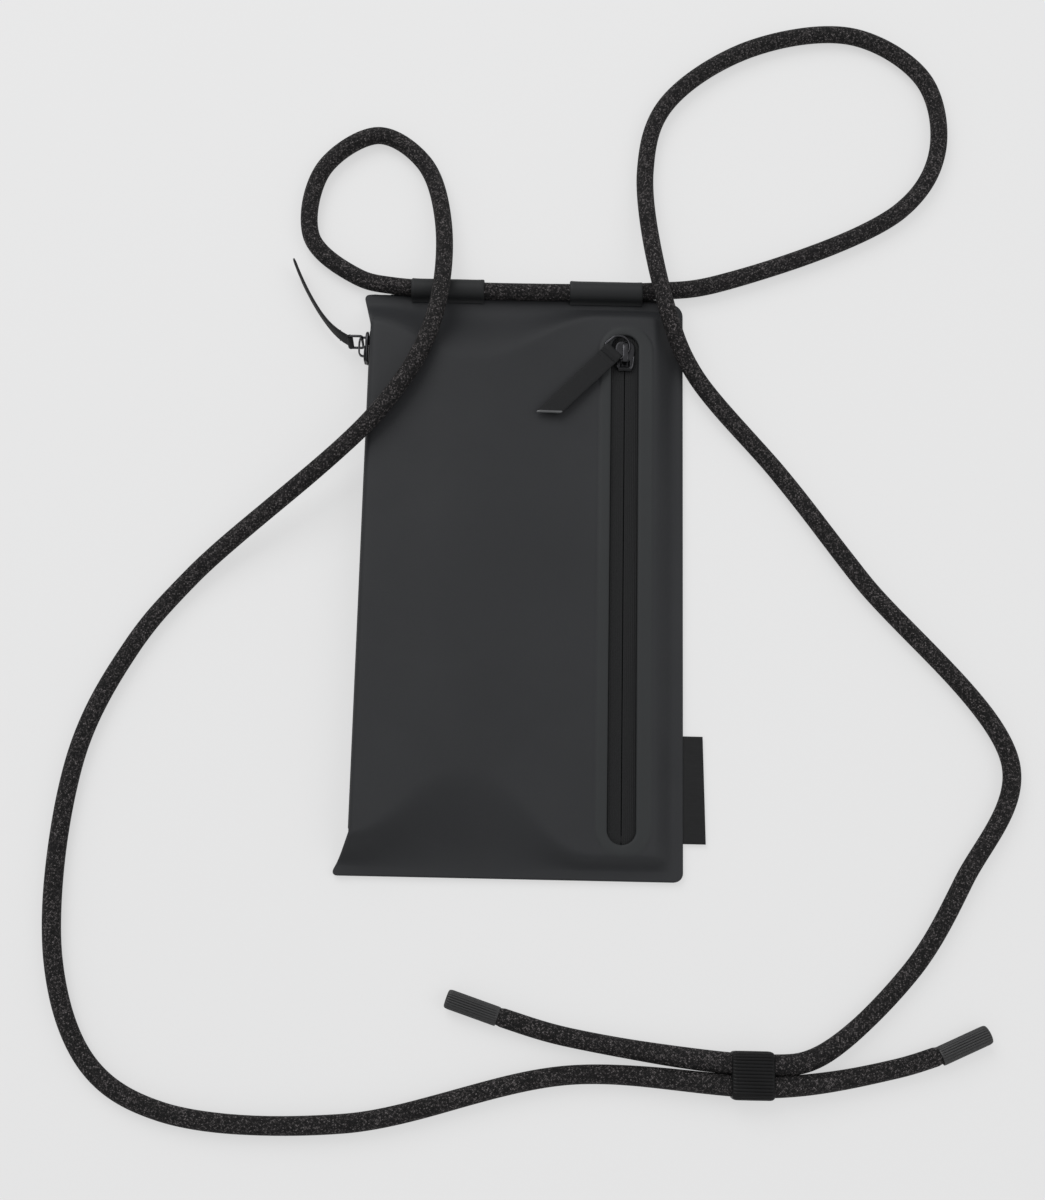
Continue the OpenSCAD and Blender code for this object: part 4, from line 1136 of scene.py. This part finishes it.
def make_label():
    """A folded satin ribbon: a bar 0.6 mm deep from the seam to its fold, with a slight wave, and
    the line between its two layers pressed into its edges."""
    (x0, x1), (y0, y1) = LABEL_X, LABEL_Y
    y = np.concatenate([y0 + np.array([0, 0.05, 0.2]), np.linspace(y0 + 1, y1 - 1, 40),
                        y1 - np.array([0.2, 0.05, 0])])
    thin = 0.29 * np.array([0.5, 0.8, 1] + [1] * 40 + [1, 0.8, 0.5])
    nose_r, nose = 0.3, np.radians(np.linspace(80, -80, 7))
    rings = []
    for at, half in zip(y, thin):
        share = (at - y0) / (y1 - y0)
        tip = x1 - 0.9 * share - nose_r
        x = np.linspace(x0, tip, 16)
        mid = 1.0 + 0.10 * np.sin((at - y0) / 7.5) * (x - HALF_W) / 7.5 * (x > HALF_W)
        around = np.concatenate([x, tip + nose_r * np.cos(nose), x[::-1]])
        height = np.concatenate([mid + half, mid[-1] + half * np.sin(nose), mid[::-1] - half])
        rings.append(np.column_stack([around, np.full(len(around), at), height]))
    piece("label_tab_satin", [closed_loft(np.array(rings))], LABEL, "pouch", ["label_tab"],
          50)


for side, (x, y) in TUNNELS.items():
    make_tunnel("cord_tunnel_%s_sleeve" % side, x, y)
make_strip()
make_label()


# ---- Floor and lights ----

def direct_rays(tree):
    """1 for rays straight from the eye, off a glossy face or through a clear one, else 0."""
    rays = add(tree, "ShaderNodeLightPath").outputs
    return calc(tree, "MAXIMUM", rays["Is Camera Ray"],
                calc(tree, "MAXIMUM", rays["Is Glossy Ray"], rays["Is Transmission Ray"]))


def make_stage():
    """A wide pale floor that keeps the shadows, most of it evenly pale wherever it is seen; one
    broad lamp high at the upper left, a weaker one at the right, and an even pale sky."""
    m, tree, shader = blank("floor_paper", 0.9, specular=0.1)
    fibre = noise(tree, place(tree), 900, 3)
    tree.links.new(ramp(tree, fibre, [(0.3, (0.795, 0.795, 0.795)), (0.7, (0.805, 0.805, 0.805))]),
                   shader.inputs["Base Color"])
    bump(tree, shader, fibre, 0.00005, 0.1)
    even = add(tree, "ShaderNodeEmission", {"Color": (0.783, 0.783, 0.783, 1), "Strength": 1.0})
    share = calc(tree, "MULTIPLY", direct_rays(tree), 0.72)
    out = add(tree, "ShaderNodeMixShader", {0: share, 1: shader.outputs[0], 2: even.outputs[0]})
    tree.links.new(out.outputs[0], tree.nodes["Material Output"].inputs["Surface"])
    mesh = bpy.data.meshes.new("floor")
    reach, below = 4, -0.0002
    corners = [(-reach, -reach, below), (reach, -reach, below), (reach, reach, below),
               (-reach, reach, below)]
    mesh.from_pydata(corners, [], [(0, 1, 2, 3)])
    mesh.materials.append(m)
    floor = bpy.data.objects.new("floor", mesh)
    bpy.context.scene.collection.objects.link(floor)
    lamps = (("key_lamp", (-0.6, 0.98, 1.2), 1.1, 13.2), ("fill_lamp", (1.1, -0.1, 1.3), 1.0, 4.0))
    for name, spot, size, power in lamps:
        data = bpy.data.lights.new(name, "AREA")
        data.size = size
        data.energy = power
        lamp = bpy.data.objects.new(name, data)
        lamp.location = spot
        lamp.rotation_euler = (-Vector(spot)).to_track_quat("-Z", "Y").to_euler()
        bpy.context.scene.collection.objects.link(lamp)
    world = bpy.data.worlds.new("sky")
    world.use_nodes = True
    tree = world.node_tree
    sky = tree.nodes["Background"]
    sky.inputs["Color"].default_value = (0.62, 0.62, 0.63, 1)
    seen = add(tree, "ShaderNodeBackground", {"Color": (0.785, 0.785, 0.785, 1), "Strength": 1.0})
    mix = add(tree, "ShaderNodeMixShader", {0: direct_rays(tree), 1: sky.outputs[0], 2: seen.outputs[0]})
    tree.links.new(mix.outputs[0], tree.nodes["World Output"].inputs["Surface"])
    bpy.context.scene.world = world
    bpy.context.scene.view_settings.view_transform = "Standard"


make_stage()
